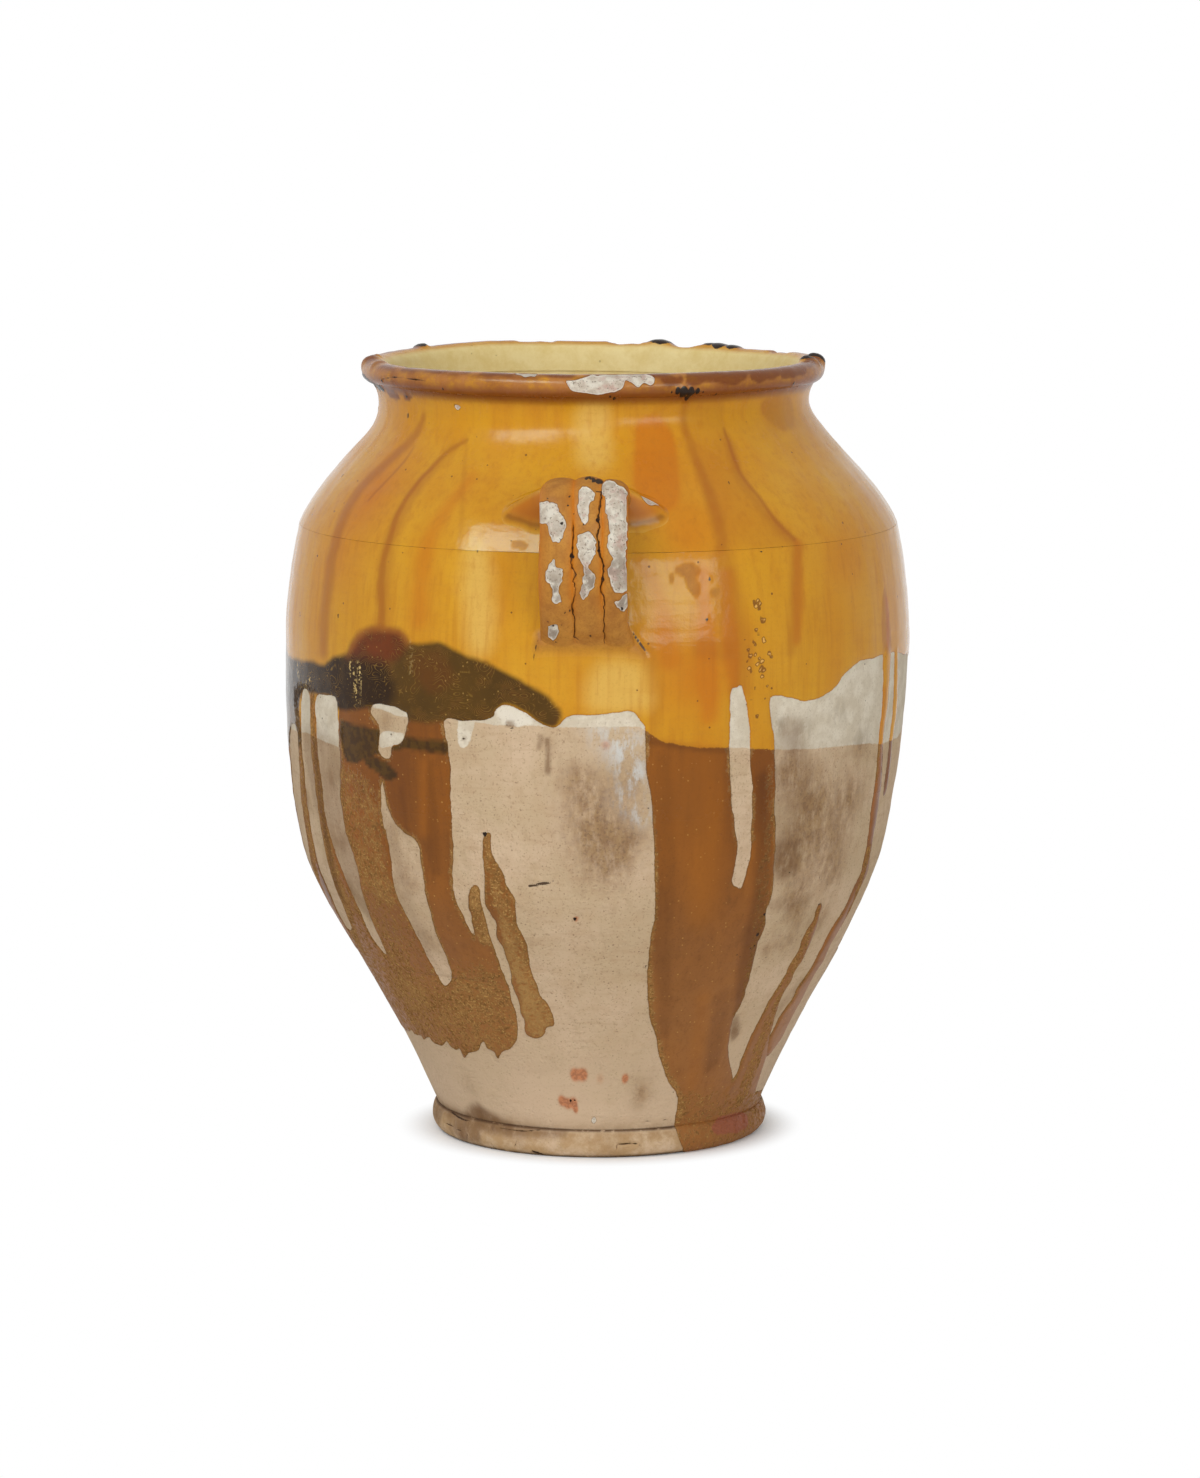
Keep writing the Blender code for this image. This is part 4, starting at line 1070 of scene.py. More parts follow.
def fan(first, count, ring, others, closing):
    """Faces between a ring of few points and one of more, with as many of its points to each of them."""
    share = others // count
    wide = ring + (np.arange(count)[:, None] * share + np.arange(share + 1)) % others
    low, high = first + np.arange(count), first + (np.arange(count) + 1) % count
    if closing:
        return np.column_stack([wide, high, low][: 2 if count == 1 else 3])
    return np.column_stack([low, high, wide[:, ::-1]][1 if count == 1 else 0:])


def loft(name, rows, marks, material, closed=True):
    """A mesh through rings of the jar. Rows of unlike column counts are joined by fans."""
    def spread(pick):
        return np.concatenate([np.full(row.columns, pick(row)) for row in rows])

    angle = np.concatenate([angles(row.columns) for row in rows])
    up = spread(lambda row: row.up)
    found = marks.at(angle, up)
    off = relief(angle, up, found) + rim_relief(angle, up)
    radius = spread(lambda row: row.radius) + spread(lambda row: row.out[0]) * off
    height = spread(lambda row: row.height) + spread(lambda row: row.out[1]) * off
    height = height + rim_warp(angle, height)
    points = np.stack([lean_at(height) + radius * np.sin(angle), -radius * np.cos(angle), height], 1)
    faces = []
    starts = np.concatenate([[0], np.cumsum([row.columns for row in rows])])
    order = list(range(len(rows))) + ([0] if closed else [])
    for here, there in zip(order, order[1:]):
        n, m = rows[here].columns, rows[there].columns
        a, b = starts[here], starts[there]
        if n > m:
            faces.append(fan(b, m, a, n, closing=True))
        elif n < m:
            faces.append(fan(a, n, b, m, closing=False))
        else:
            j = np.arange(n)
            k = (j + 1) % n
            faces.append(np.stack([a + j, a + k, b + k, b + j], 1))
    return make_mesh(name, points, faces, found, material)


def make_mesh(name, points, faces, found, material):
    """An object from points and blocks of faces, with the marks as attributes in millimetres or shares."""
    mesh = bpy.data.meshes.new(name)
    corners = np.concatenate([block.ravel() for block in faces])
    totals = np.concatenate([np.full(len(block), block.shape[1]) for block in faces])
    mesh.vertices.add(len(points))
    mesh.vertices.foreach_set("co", points.ravel())
    mesh.loops.add(len(corners))
    mesh.loops.foreach_set("vertex_index", corners)
    mesh.polygons.add(len(totals))
    mesh.polygons.foreach_set("loop_start", np.concatenate([[0], totals.cumsum()[:-1]]))
    mesh.polygons.foreach_set("loop_total", totals)
    mesh.update(calc_edges=True)
    mesh.validate()
    mesh.shade_smooth()
    mesh.set_sharp_from_angle(angle=radians(50))
    for key, values in found.items():
        layer = mesh.attributes.new(key, "FLOAT", "POINT")
        layer.data.foreach_set("value", (values * (1000 if key in DISTANCES else 1)).astype(np.float32))
    mesh.materials.append(material)
    piece = bpy.data.objects.new(name, mesh)
    bpy.context.scene.collection.objects.link(piece)
    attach(piece, "root")
    return piece


def body(marks, material):
    """The jar's turned pieces, each a closed mesh that stands for its node."""
    foot = loft("foot_coil", foot_rows(), marks, material)
    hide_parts("foot_ring")
    base = loft("lower_wall", base_rows(), marks, material, closed=False)
    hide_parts("base_section")
    outer, inner = wall_rows(BASE_SEAM, RIDGE, BODY_LEVELS)
    belly = loft("belly_wall", outer + inner, marks, material)
    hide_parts("belly_section")
    outer, inner = wall_rows(RIDGE, RIM_SEAM, NECK_LEVELS)
    shoulder = loft("shoulder_wall", outer + inner, marks, material)
    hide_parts("shoulder_section")
    rim = loft("rim", rim_rows(), marks, material)
    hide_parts("rim_roll")


def foot_rows():
    """The foot coil: level underneath, round outside and seated against the lower wall."""
    angle = np.linspace(-pi / 2, pi / 2, 26)
    radius, height = half_roll(FOOT_RADIUS, FOOT_BULGE, FOOT_TOP_RADIUS, 0.0, FOOT_TOP, angle)
    step_out = (FOOT_RADIUS - FOOT_SEAT) / 4
    under = [Row(FOOT_SEAT + step_out * k, 0.0, -0.002 * (4 - k), COLUMNS) for k in range(4)]
    seat = [Row(FOOT_SEAT, FOOT_SEAT_HEIGHT, -0.01, COLUMNS)]
    return under + rows_along(radius, height, height, COLUMNS) + seat


def base_rows():
    """The underside, the lower wall up to its seam and back down inside, and the floor."""
    outer, inner = wall_rows(FOOT_TOP, BASE_SEAM, BODY_LEVELS)
    inner = [row for row in inner if row.height > FLOOR + CORNER]
    side = inner[-1].radius - 0.002
    turn = np.linspace(0.15, 1.0, 7) * pi / 2
    radii, heights = side - CORNER * (1 - np.cos(turn)), FLOOR + CORNER * (1 - np.sin(turn))
    corner = rows_along(radii, heights, 2 * TOP - FLOOR + CORNER * turn, FEW_COLUMNS)
    shares, level = np.linspace(0.93, 0.04, 20), (0.0, 1.0)
    inside = [Row(radii[-1] * share, FLOOR, 2 * TOP + 0.01, FEW_COLUMNS, level) for share in shares]
    inside.append(Row(0.0, FLOOR, 2 * TOP + 0.01, 1, level))
    shares = np.linspace(0.03, 1.0, 14)
    under = [Row(0.0, 0.0, -0.07, 1)]
    under += [Row(FOOT_SEAT * share, 0.0, -0.07 + 0.05 * share, COLUMNS) for share in shares]
    rebate = [Row(FOOT_SEAT, FOOT_SEAT_HEIGHT, -0.01, COLUMNS)]
    return under + rebate + outer + inner + corner + inside


def rim_rows():
    """The collar, the roll round to its crest, and over it down the inside to the seam."""
    angle = np.linspace(-pi / 2, pi / 2, 20)
    radius, height = half_roll(COLLAR_RADIUS, ROLL_RADIUS, CREST_OUTER, COLLAR, TOP, angle)
    heights = np.array([RIM_SEAM, (RIM_SEAM + COLLAR) / 2])
    inner_top = outline(COLLAR, NECK_LEVELS) - WALL * hypot(1, COLLAR_LEAN)
    inner_low = outline(RIM_SEAM, NECK_LEVELS) - WALL * 1.1
    share, stops = np.linspace(0, 1, 16), [0, 0.18, 0.45, 0.75, 1]
    over_radius = np.interp(share, stops, [CREST_OUTER, CREST_INNER, MOUTH_RADIUS, inner_top, inner_low])
    over_height = np.interp(share, stops, [TOP, TOP, LIP_HEIGHT, COLLAR, RIM_SEAM])
    radii = np.concatenate([outline(heights, NECK_LEVELS), radius, over_radius[1:]])
    heights = np.concatenate([heights, height, over_height[1:]])
    crest = 1 + len(radius)
    for _ in range(2):
        for values in (radii, heights):
            values[crest - 1:-1] = (values[crest - 2:-2] + 2 * values[crest - 1:-1] + values[crest:]) / 4
    run = np.concatenate([[0], np.hypot(np.diff(radii), np.diff(heights)).cumsum()])
    ups = np.where(np.arange(len(run)) <= crest, heights, TOP + run - run[crest])
    return rows_along(radii, heights, ups, COLUMNS)


# Handles


def strap_line(t):
    """Centre line of a strap from root to tail, as radius and height, and its direction."""
    def anchor(height, levels):
        lean = wall_lean(height, levels)
        length = hypot(1, lean)
        return np.array([outline(height, levels) - STRAP_SINK / length, height + STRAP_SINK * lean / length])

    root, tail = anchor(ROOT_HEIGHT, NECK_LEVELS), anchor(TAIL_HEIGHT, BODY_LEVELS)
    over = root + ROOT_PULL * np.array([cos(ROOT_SLOPE), sin(ROOT_SLOPE)])
    under = tail + np.array([TAIL_REACH, TAIL_LIFT])
    t = t[:, None]
    place = (1 - t) ** 3 * root + 3 * t * (1 - t) ** 2 * over + 3 * t * t * (1 - t) * under + t**3 * tail
    slope = 3 * (1 - t) ** 2 * (over - root) + 6 * t * (1 - t) * (under - over) + 3 * t * t * (tail - under)
    return place, slope / np.linalg.norm(slope, axis=1)[:, None]


def ribs(across):
    """Height of the pulled ribs across the strap's outer face, from 0 in the furrows to 1."""
    edges = np.array(RIB_EDGES)
    which = np.clip(np.searchsorted(edges, across) - 1, 0, len(edges) - 2)
    share = (across - edges[which]) / (edges[which + 1] - edges[which])
    return np.abs(np.sin(pi * np.clip(share, 0, 1))) ** RIB_FULLNESS


def photo_pixels(points):
    """Where the camera sees points, as x and y in the photograph's pixels."""
    ray = points - EYE
    depth = ray @ FORWARD
    x = PHOTO_WIDTH / 2 + FOCAL_PIXELS * ray[..., 0] / depth
    return x, PHOTO_HEIGHT / 2 - FOCAL_PIXELS * (ray @ UPWARD) / depth


def turned(points, angle):
    """Points turned round the jar's axis."""
    x, y, z = np.moveaxis(points, -1, 0)
    return np.stack([x * cos(angle) - y * sin(angle), x * sin(angle) + y * cos(angle), z], -1)


def strap_marks(points, side):
    """The marks on a strap's outer face, given as rows from root to tail in the front handle's place."""
    x, y = photo_pixels(points)
    seen = np.arange(len(points))[:, None] >= y.argmin(0)[None, :]
    chips, seed = STRAP_CHIPS, 42
    if side == "rear":
        x, chips, seed = 2 * STRAP_MIDDLE - x, STRAP_CHIPS[1::2], 46
    u, v = x * PIXEL_ON_STRAP, y * PIXEL_ON_STRAP
    ragged_u = u + 0.0004 * ripple(u * 40, v, 130, 0.0012, seed)
    ragged_v = v + 0.0004 * ripple(u * 40, v, 130, 0.0012, seed + 1)
    shapes = [rounded(np.array(shape, float) * PIXEL_ON_STRAP) for shape in chips]
    lines = [np.array(line, float) * PIXEL_ON_STRAP for line in FURROW_CRACKS]
    spots = [(np.array([x, y]) * PIXEL_ON_STRAP, radius * PIXEL_ON_STRAP) for x, y, radius in STRAP_BURNT]
    chip = covering(shapes, ragged_u, ragged_v)
    crack = covering(lines, ragged_u, v, measure=along)
    burnt = dots(spots, ragged_u, ragged_v)
    return [np.where(seen, values, -EDGE_REACH) for values in (chip, crack, burnt)]


def strap(side, turn, material):
    """A pulled strap with three ribs, flared and thinned where it is pressed on at its tail."""
    seed = 41 if side == "front" else 45
    t = np.linspace(0, 1, STRAP_STATIONS)
    place, along_run = strap_line(t)
    spread = ease(t, FLARE_START, 1.0)
    width = (STRAP_WIDTH + TAIL_FLARE * spread)[:, None]
    half = ((STRAP_THICKNESS - TAIL_THINNING * spread) / 2)[:, None]
    across = np.linspace(-0.5, 0.5, STRAP_FACE)[None, :]
    rounding = np.sqrt(np.clip(1 - np.abs(2 * across) ** EDGE_SQUARENESS, 0, 1))
    step_down = 0.0004 * ease(t, 0.89, 0.91)[:, None] * np.exp(-(((across - 0.05) / 0.15) ** 4))
    top = t[place[:, 1].argmax()]
    swell = np.interp(across, np.convolve(RIB_EDGES, (0.5, 0.5), "valid"), CROWN_RISES)
    swell = swell * np.exp(-(((t - top) / CROWN_SPREAD) ** 2))[:, None]
    hollows = RIB_DEPTH * (1 - 0.5 * spread[:, None]) * (1 - ribs(across))
    face_out = rounding * (half + swell - hollows - step_down)
    around = (pi * np.arange(1, STRAP_BACK) / STRAP_BACK)[None, :]
    back_across = 0.5 * width * np.cos(around)
    sideways = np.concatenate([across * width, back_across], 1) + TAIL_SHIFT * spread[:, None]
    outward = np.concatenate([face_out, -half * np.sqrt(np.sin(around))], 1)
    outward = outward + 0.0003 * ripple(sideways * 40 + 1, t[:, None] * 0.1, 14, 0.012, seed)
    sideways = sideways + 0.0004 * ripple(np.zeros((1, 1)), t[:, None] * 0.1, 3, 0.02, seed + 10)
    near_tail = ease(t, 0.70, 0.82)[:, None] * (np.arange(sideways.shape[1]) < STRAP_FACE)[None, :]
    run_out = 0.0014 * ease(t, 0.962, 1.0)[:, None]

    def points_at(out):
        radius = place[:, :1] - along_run[:, 1:] * out
        height = place[:, 1:] + along_run[:, :1] * out
        off = np.hypot(radius, sideways) - outer_radius(height) - GLAZE_COAT
        soft = TAIL_BLEND * np.logaddexp(0, off / TAIL_BLEND) - run_out
        return np.stack([sideways, -radius - near_tail * (soft - off), height], -1)

    chip, crack, burnt = strap_marks(turned(points_at(outward), HANDLE_TURN)[:, :STRAP_FACE], side)
    chipped = ease(chip, -0.0002, 0.0004)
    outward[:, :STRAP_FACE] -= 0.0005 * chipped + 0.0009 * ease(crack, -0.0003, 0.0003)
    outward[:, :STRAP_FACE] += 0.00012 * chipped * ripple(across * 60, t[:, None], 200, 0.004, seed + 2)
    unturned = points_at(outward)
    points = turned(unturned, turn)
    x, y = photo_pixels(turned(unturned, HANDLE_TURN)[:, :STRAP_FACE])
    # Painted shade: a dark line along the strap's top edge, where the camera sees it turn away.
    painted_top_edge_shade = 0.75 * np.exp(-(((y - y.min(0)) / 1.6) ** 2)) * (np.abs(across) < 0.49)
    weather = np.zeros(chip.shape)
    for dirt_x, dirt_y, radius, strength in STRAP_DIRT:
        weather += strength * spot(x, y, (dirt_x, dirt_y), radius)
    on_face = {
        "chip": chip, "crack": crack, "burnt": burnt, "weather": np.clip(weather, 0, 1),
        "furrow": (1 - ribs(across)) ** 1.5 * (1 - 0.8 * ease(t, 0.72, 0.86))[:, None],
        # The brown at the strap's sides is painted shade where its face rounds away, with the painted shade
        # of its top edge.
        "brown": np.maximum(0.55 * ease(np.abs(across), 0.455, 0.50), painted_top_edge_shade),
    }
    whole = {key: np.full(sideways.shape, value) for key, value in PLAIN_MARKS.items()}
    for key, values in on_face.items():
        whole[key][:, :STRAP_FACE] = values
    whole["worn"][:] = 1 - 0.8 * ease(t, 0.93, 1.0)[:, None]
    whole["up"] = points[..., 2]
    count = sideways.shape[1]
    i, j = np.arange(STRAP_STATIONS - 1)[:, None] * count, np.arange(count)[None, :]
    k = (j + 1) % count
    quads = np.stack([i + j, i + count + j, i + count + k, i + k], -1).reshape(-1, 4)
    caps = [j, (STRAP_STATIONS - 1) * count + j[:, ::-1]]
    found = {key: values.ravel() for key, values in whole.items()}
    piece = make_mesh(side + "_strap", points.reshape(-1, 3), [quads] + caps, found, material)
    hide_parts(side + "_handle")


def wing_crest(beyond):
    """Height of the wings' ridge above the root's middle, up the slope, at a distance beyond the strap."""
    return WING_CREST - WING_DROOP * np.maximum(beyond, 0)


def luting_height(s, w):
    """How far the pinched-on clay stands off the wall, s sideways and w up the slope from the root."""
    beyond = np.abs(s) - STRAP_WIDTH / 2
    reach = np.clip(beyond / WING_REACH, 0, 1)
    rise = WING_RISE * (1 - reach**1.5)
    q = w - wing_crest(beyond)
    above = np.exp(-np.clip(q, 0, None) ** 2 / 0.0032**2)
    fall = np.clip(-q, 0, None) / (WING_DEPTH * (1 - 0.60 * reach))
    below = 0.14 * np.logaddexp(0, (1 - 1.12 * fall) / 0.14)
    fold = 0.14 * np.exp(-(((q - 0.0052) / 0.0013) ** 2))
    wing = rise * (np.where(q > 0, above, below) + fold) * ease(beyond, -0.004, -0.001)
    outside = np.hypot(np.maximum(beyond, 0), np.maximum(np.abs(w) - STRAP_THICKNESS / 2, 0))
    fillet = FILLET_RISE * np.exp(-outside / FILLET_REACH)
    return np.maximum(wing, fillet) + 0.3 * np.minimum(wing, fillet) - LUTING_SINK


def luting(side, turn, marks, material):
    """The clay pinched on round a strap's root: a thin closed patch with two wings on the wall."""
    s = np.linspace(-LUTING_HALF, LUTING_HALF, LUTING_COLUMNS)[None, :]
    w = np.linspace(LUTING_LOW, LUTING_HIGH, LUTING_ROWS)[:, None]
    size = LUTING_ROWS, LUTING_COLUMNS
    height = np.broadcast_to(ROOT_HEIGHT + w / hypot(1, wall_lean(ROOT_HEIGHT, NECK_LEVELS)), size)
    angle = np.broadcast_to(turn + s / outline(ROOT_HEIGHT, NECK_LEVELS), size)
    radius, slope = outline(height, NECK_LEVELS), wall_lean(height, NECK_LEVELS)
    out, lift = 1 / np.hypot(1, slope), -slope / np.hypot(1, slope)
    found = marks.at(angle, height)
    rise = luting_height(s, w) + 0.0003 * ripple(angle, height, 120, 0.006, 47)
    off = relief(angle, height, found)
    sheets = []
    for extra in (rise, -LUTING_THICKNESS):
        r, z = radius + out * (off + extra), height + lift * (off + extra)
        sheets.append(np.stack([lean_at(z) + r * np.sin(angle), -r * np.cos(angle), z], -1).reshape(-1, 3))
    count = LUTING_ROWS * LUTING_COLUMNS
    grid = np.arange(count).reshape(size)
    front = np.stack([grid[:-1, :-1], grid[:-1, 1:], grid[1:, 1:], grid[1:, :-1]], -1).reshape(-1, 4)
    edge = np.concatenate([grid[0, :-1], grid[:-1, -1], grid[-1, :0:-1], grid[:0:-1, 0]])
    after = np.roll(edge, -1)
    faces = [front, front[:, ::-1] + count, np.stack([edge, edge + count, after + count, after], 1)]
    below = wing_crest(np.abs(s) - STRAP_WIDTH / 2) - w
    raised = ease(rise, 0.0004, 0.0030)
    # Painted shade: the wings' downward-facing undersides get a deeper, more orange glaze colour.
    under = ease(below, 0.0002, 0.0020) * raised
    # Band just below the wings' crest that carries painted light: a dark line of painted shade and a pale
    # painted highlight.
    painted_light_band = ease(below, 0.0010, 0.0030)
    found["worn"] = 0.35 * raised
    found["deep"] = np.maximum(found["deep"], 0.8 * under * ease(below, 0.0, 0.0070))
    found["orange"] = np.maximum(found["orange"], under)
    # Painted shade: a thin dark line in the crease at the foot of each wing.
    found["brown"] = 0.7 * painted_light_band * np.exp(-(((rise - 0.0011) / 0.0006) ** 2))
    # Painted highlight: a pale crescent below each wing, standing in for the lamp's reflection in the fillet.
    found["pale"] = np.maximum(found["pale"], 0.6 * painted_light_band * np.exp(-(((rise + 0.0001) / 0.0003) ** 2)))
    found["glaze"] = np.full(size, EDGE_REACH)
    both = {key: np.concatenate([values.ravel()] * 2) for key, values in found.items()}
    piece = make_mesh(side + "_luting", np.concatenate(sheets), faces, both, material)
    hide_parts(side + "_luting_collar")


# Shader building


class Signal:
    """A number, vector or colour inside a shader. Adding, subtracting and multiplying make math nodes."""

    def __init__(self, socket):
        self.socket = socket
        self.tree = socket.id_data

    def __add__(self, other):
        return calculate("ADD", self, other)

    def __sub__(self, other):
        return calculate("SUBTRACT", self, other)

    def __rsub__(self, other):
        return calculate("SUBTRACT", other, self)

    def __mul__(self, other):
        return calculate("MULTIPLY", self, other)

    __radd__, __rmul__ = __add__, __mul__


def emptied(owner):
    """The cleared node tree of a material or a world."""
    owner.use_nodes = True
    owner.node_tree.nodes.clear()
    return owner.node_tree


def add(tree, kind, values=None, **settings):
    """A node with its settings, and its inputs set to values or linked to signals."""
    node = tree.nodes.new(kind)
    for name, value in settings.items():
        setattr(node, name, value)
    for key, value in (values or {}).items():
        if isinstance(value, Signal):
            tree.links.new(value.socket, node.inputs[key])
        else:
            node.inputs[key].default_value = value
    return node


def surface(tree, kind, shader):
    """Send a shader node to the output of its material or world."""
    tree.links.new(shader.outputs[0], add(tree, kind).inputs[0])


def calculate(operation, *values):
    """The result of a math node on numbers, at least one of which is a signal."""
    tree = next(value.tree for value in values if isinstance(value, Signal))
    return Signal(add(tree, "ShaderNodeMath", dict(enumerate(values)), operation=operation).outputs[0])


def step(value, low, high):
    """0 below low, 1 above high, smooth between."""
    values = {"Value": value, "From Min": low, "From Max": high}
    node = add(value.tree, "ShaderNodeMapRange", values, interpolation_type="SMOOTHSTEP")
    return Signal(node.outputs["Result"])


def blend(share, a, b):
    """Colour a where share is 0, b where it is 1. Plain colours are as they look on a screen, 0 to 255."""
    a, b = (srgb(*colour) if isinstance(colour, tuple) else colour for colour in (a, b))
    return Signal(add(share.tree, "ShaderNodeMix", {0: share, 6: a, 7: b}, data_type="RGBA").outputs[2])


def painted(colour, layers):
    """A colour with others laid over it in turn, each one where its share is above 0."""
    for share, over in layers:
        colour = blend(share, colour, over)
    return colour


def noise(place, scale, detail=2.0, roughness=0.5, output="Fac"):
    values = {"Vector": place, "Scale": scale, "Detail": detail, "Roughness": roughness}
    return Signal(add(place.tree, "ShaderNodeTexNoise", values).outputs[output])


def on_vectors(operation, a, b):
    return Signal(add(a.tree, "ShaderNodeVectorMath", {0: a, 1: b}, operation=operation).outputs[0])


def stretched(place, x, y, z):
    return on_vectors("MULTIPLY", place, (x, y, z))


def sparse_dots(place, scale, size, rarity):
    """1 in small dots of unlike size, in some of the cells that fill space."""
    cells = add(place.tree, "ShaderNodeTexVoronoi", {"Vector": place, "Scale": scale})
    parts = add(place.tree, "ShaderNodeSeparateColor", {0: Signal(cells.outputs["Color"])})
    reach = size * step(Signal(parts.outputs[0]), rarity, 1.0)
    return step(reach - Signal(cells.outputs["Distance"]), 0.0, size * 0.25)


def wavering(distance, grain, amount, low, high):
    """A smooth threshold on a signed distance whose edge wavers with a noise."""
    return step(distance + (amount * grain - amount / 2), low, high)


# The jar's material. Marks and grains are signals by name; distances in the marks are in millimetres.


def jar_material(name):
    """Bare clay, white slip over it, and glaze over both, thresholded from the marks with fine noise."""
    made = bpy.data.materials.new(name)
    tree = emptied(made)
    place = Signal(add(tree, "ShaderNodeTexCoord").outputs["Object"])
    grain = SimpleNamespace(
        fine=noise(place, 1100.0),
        grains=noise(place, 760.0),
        middle=noise(place, 320.0, 3.0),
        wavy=noise(place, 130.0),
        cloudy=noise(place, 110.0, 8.0, 0.72),
        broad=noise(place, 30.0, 4.0),
        vertical=noise(stretched(place, 1.0, 1.0, 0.12), 55.0, 3.0),
        brush=noise(stretched(place, 1.0, 1.0, 0.05), 380.0, 3.0, 0.6),
        rings=noise(stretched(place, 0.12, 0.12, 1.0), 460.0, 3.0),
        smear=noise(stretched(place, 1.0, 1.0, 0.4), 230.0, 6.0, 0.7),
        pits=sparse_dots(place, 200.0, 0.11, 0.45),
        specks=sparse_dots(place, 560.0, 0.24, 0.50),
    )
    stored = {key: add(tree, "ShaderNodeAttribute", attribute_name=key) for key in PLAIN_MARKS}
    mark = SimpleNamespace(**{key: Signal(node.outputs["Fac"]) for key, node in stored.items()})
    grit = 0.5 * grain.fine + 0.5 * grain.middle
    chip = wavering(mark.chip, grit, 0.5, -0.08, 0.08)
    glaze = wavering(mark.glaze, grit, 0.9, -0.12, 0.12)
    slip = wavering(mark.slip, grit, 2.2, -0.25, 0.35)
    burnt = wavering(mark.burnt, grit, 0.8, -0.15, 0.15)
    cracked = wavering(mark.crack, grit, 0.3, -0.10, 0.10)
    foot_red = wavering(mark.foot_red, grain.middle, 2.0, -0.6, 0.6)
    crusty = mark.crust + 1.2 * (grain.middle + 1.5 * grain.grains - 1.25)
    crusty = step(crusty, 0.15, 0.95) * step(mark.crust, 0.03, 0.3)

    coat = coat_colour(slip, crusty, place, mark, grain)
    coat = blend(mark.inside, coat, cream_colour(grain))
    colour = painted(blend(glaze, bare_colour(slip, mark, grain), coat), [
        (0.8 * foot_red, (150, 84, 62)),
        (chip, chip_colour(mark, grain)),
        (0.45 * step(mark.chip, -0.5, -0.1) * (1 - chip), (96, 60, 28)),
        (burnt, (44, 32, 24)),
        (0.9 * cracked, (56, 36, 24)),
    ])
    shiny = glaze * (1 - chip)
    neck = 0.14 * step(mark.up, 0.284, 0.294)
    low = 0.30 - 0.30 * step(mark.up, 0.11, 0.20)
    uneven = 0.60 * crusty + 0.07 * step(grain.cloudy, 0.45, 0.75) + calculate("MAXIMUM", neck, low)
    uneven = uneven + calculate("MINIMUM", 1.2 * mark.worn, 0.34) + 0.25 * mark.inside
    height = (0.00012 + 0.00022 * grain.wavy + 0.00005 * grain.middle) * shiny + 0.00005 * grain.rings
    height = height + (0.00007 - 0.00003 * shiny) * grain.fine
    height = height + 0.00035 * crusty * grain.middle - 0.00015 * grain.pits
    bump = add(tree, "ShaderNodeBump", {"Height": height, "Distance": 1.0, "Strength": 1.0})
    roughness = 0.84 - 0.73 * shiny + shiny * uneven
    values = {"Base Color": colour, "Roughness": roughness, "Normal": Signal(bump.outputs[0])}
    values["Specular IOR Level"] = 0.15
    surface(tree, "ShaderNodeOutputMaterial", add(tree, "ShaderNodeBsdfPrincipled", values))
    return made


def cream_colour(grain):
    """The plain glaze inside the jar."""
    cream = blend(step(grain.cloudy, 0.3, 0.7), (238, 217, 156), (227, 201, 132))
    return blend(0.4 * grain.pits, cream, (150, 120, 76))


def chip_colour(mark, grain):
    """Pale, dirty body where the glaze has flaked off, with a lighter rim."""
    stone = blend(step(grain.middle, 0.35, 0.65), (218, 210, 194), (192, 178, 160))
    return painted(stone, [
        (0.6 * step(grain.cloudy, 0.5, 0.62), (190, 150, 136)),
        (0.7 * step(grain.fine, 0.58, 0.68), (116, 100, 84)),
        (0.8 * mark.weather * step(grain.middle, 0.30, 0.52), (138, 124, 110)),
        (0.6 * (1 - step(mark.chip, 0.1, 0.5)), (226, 220, 206)),
    ])


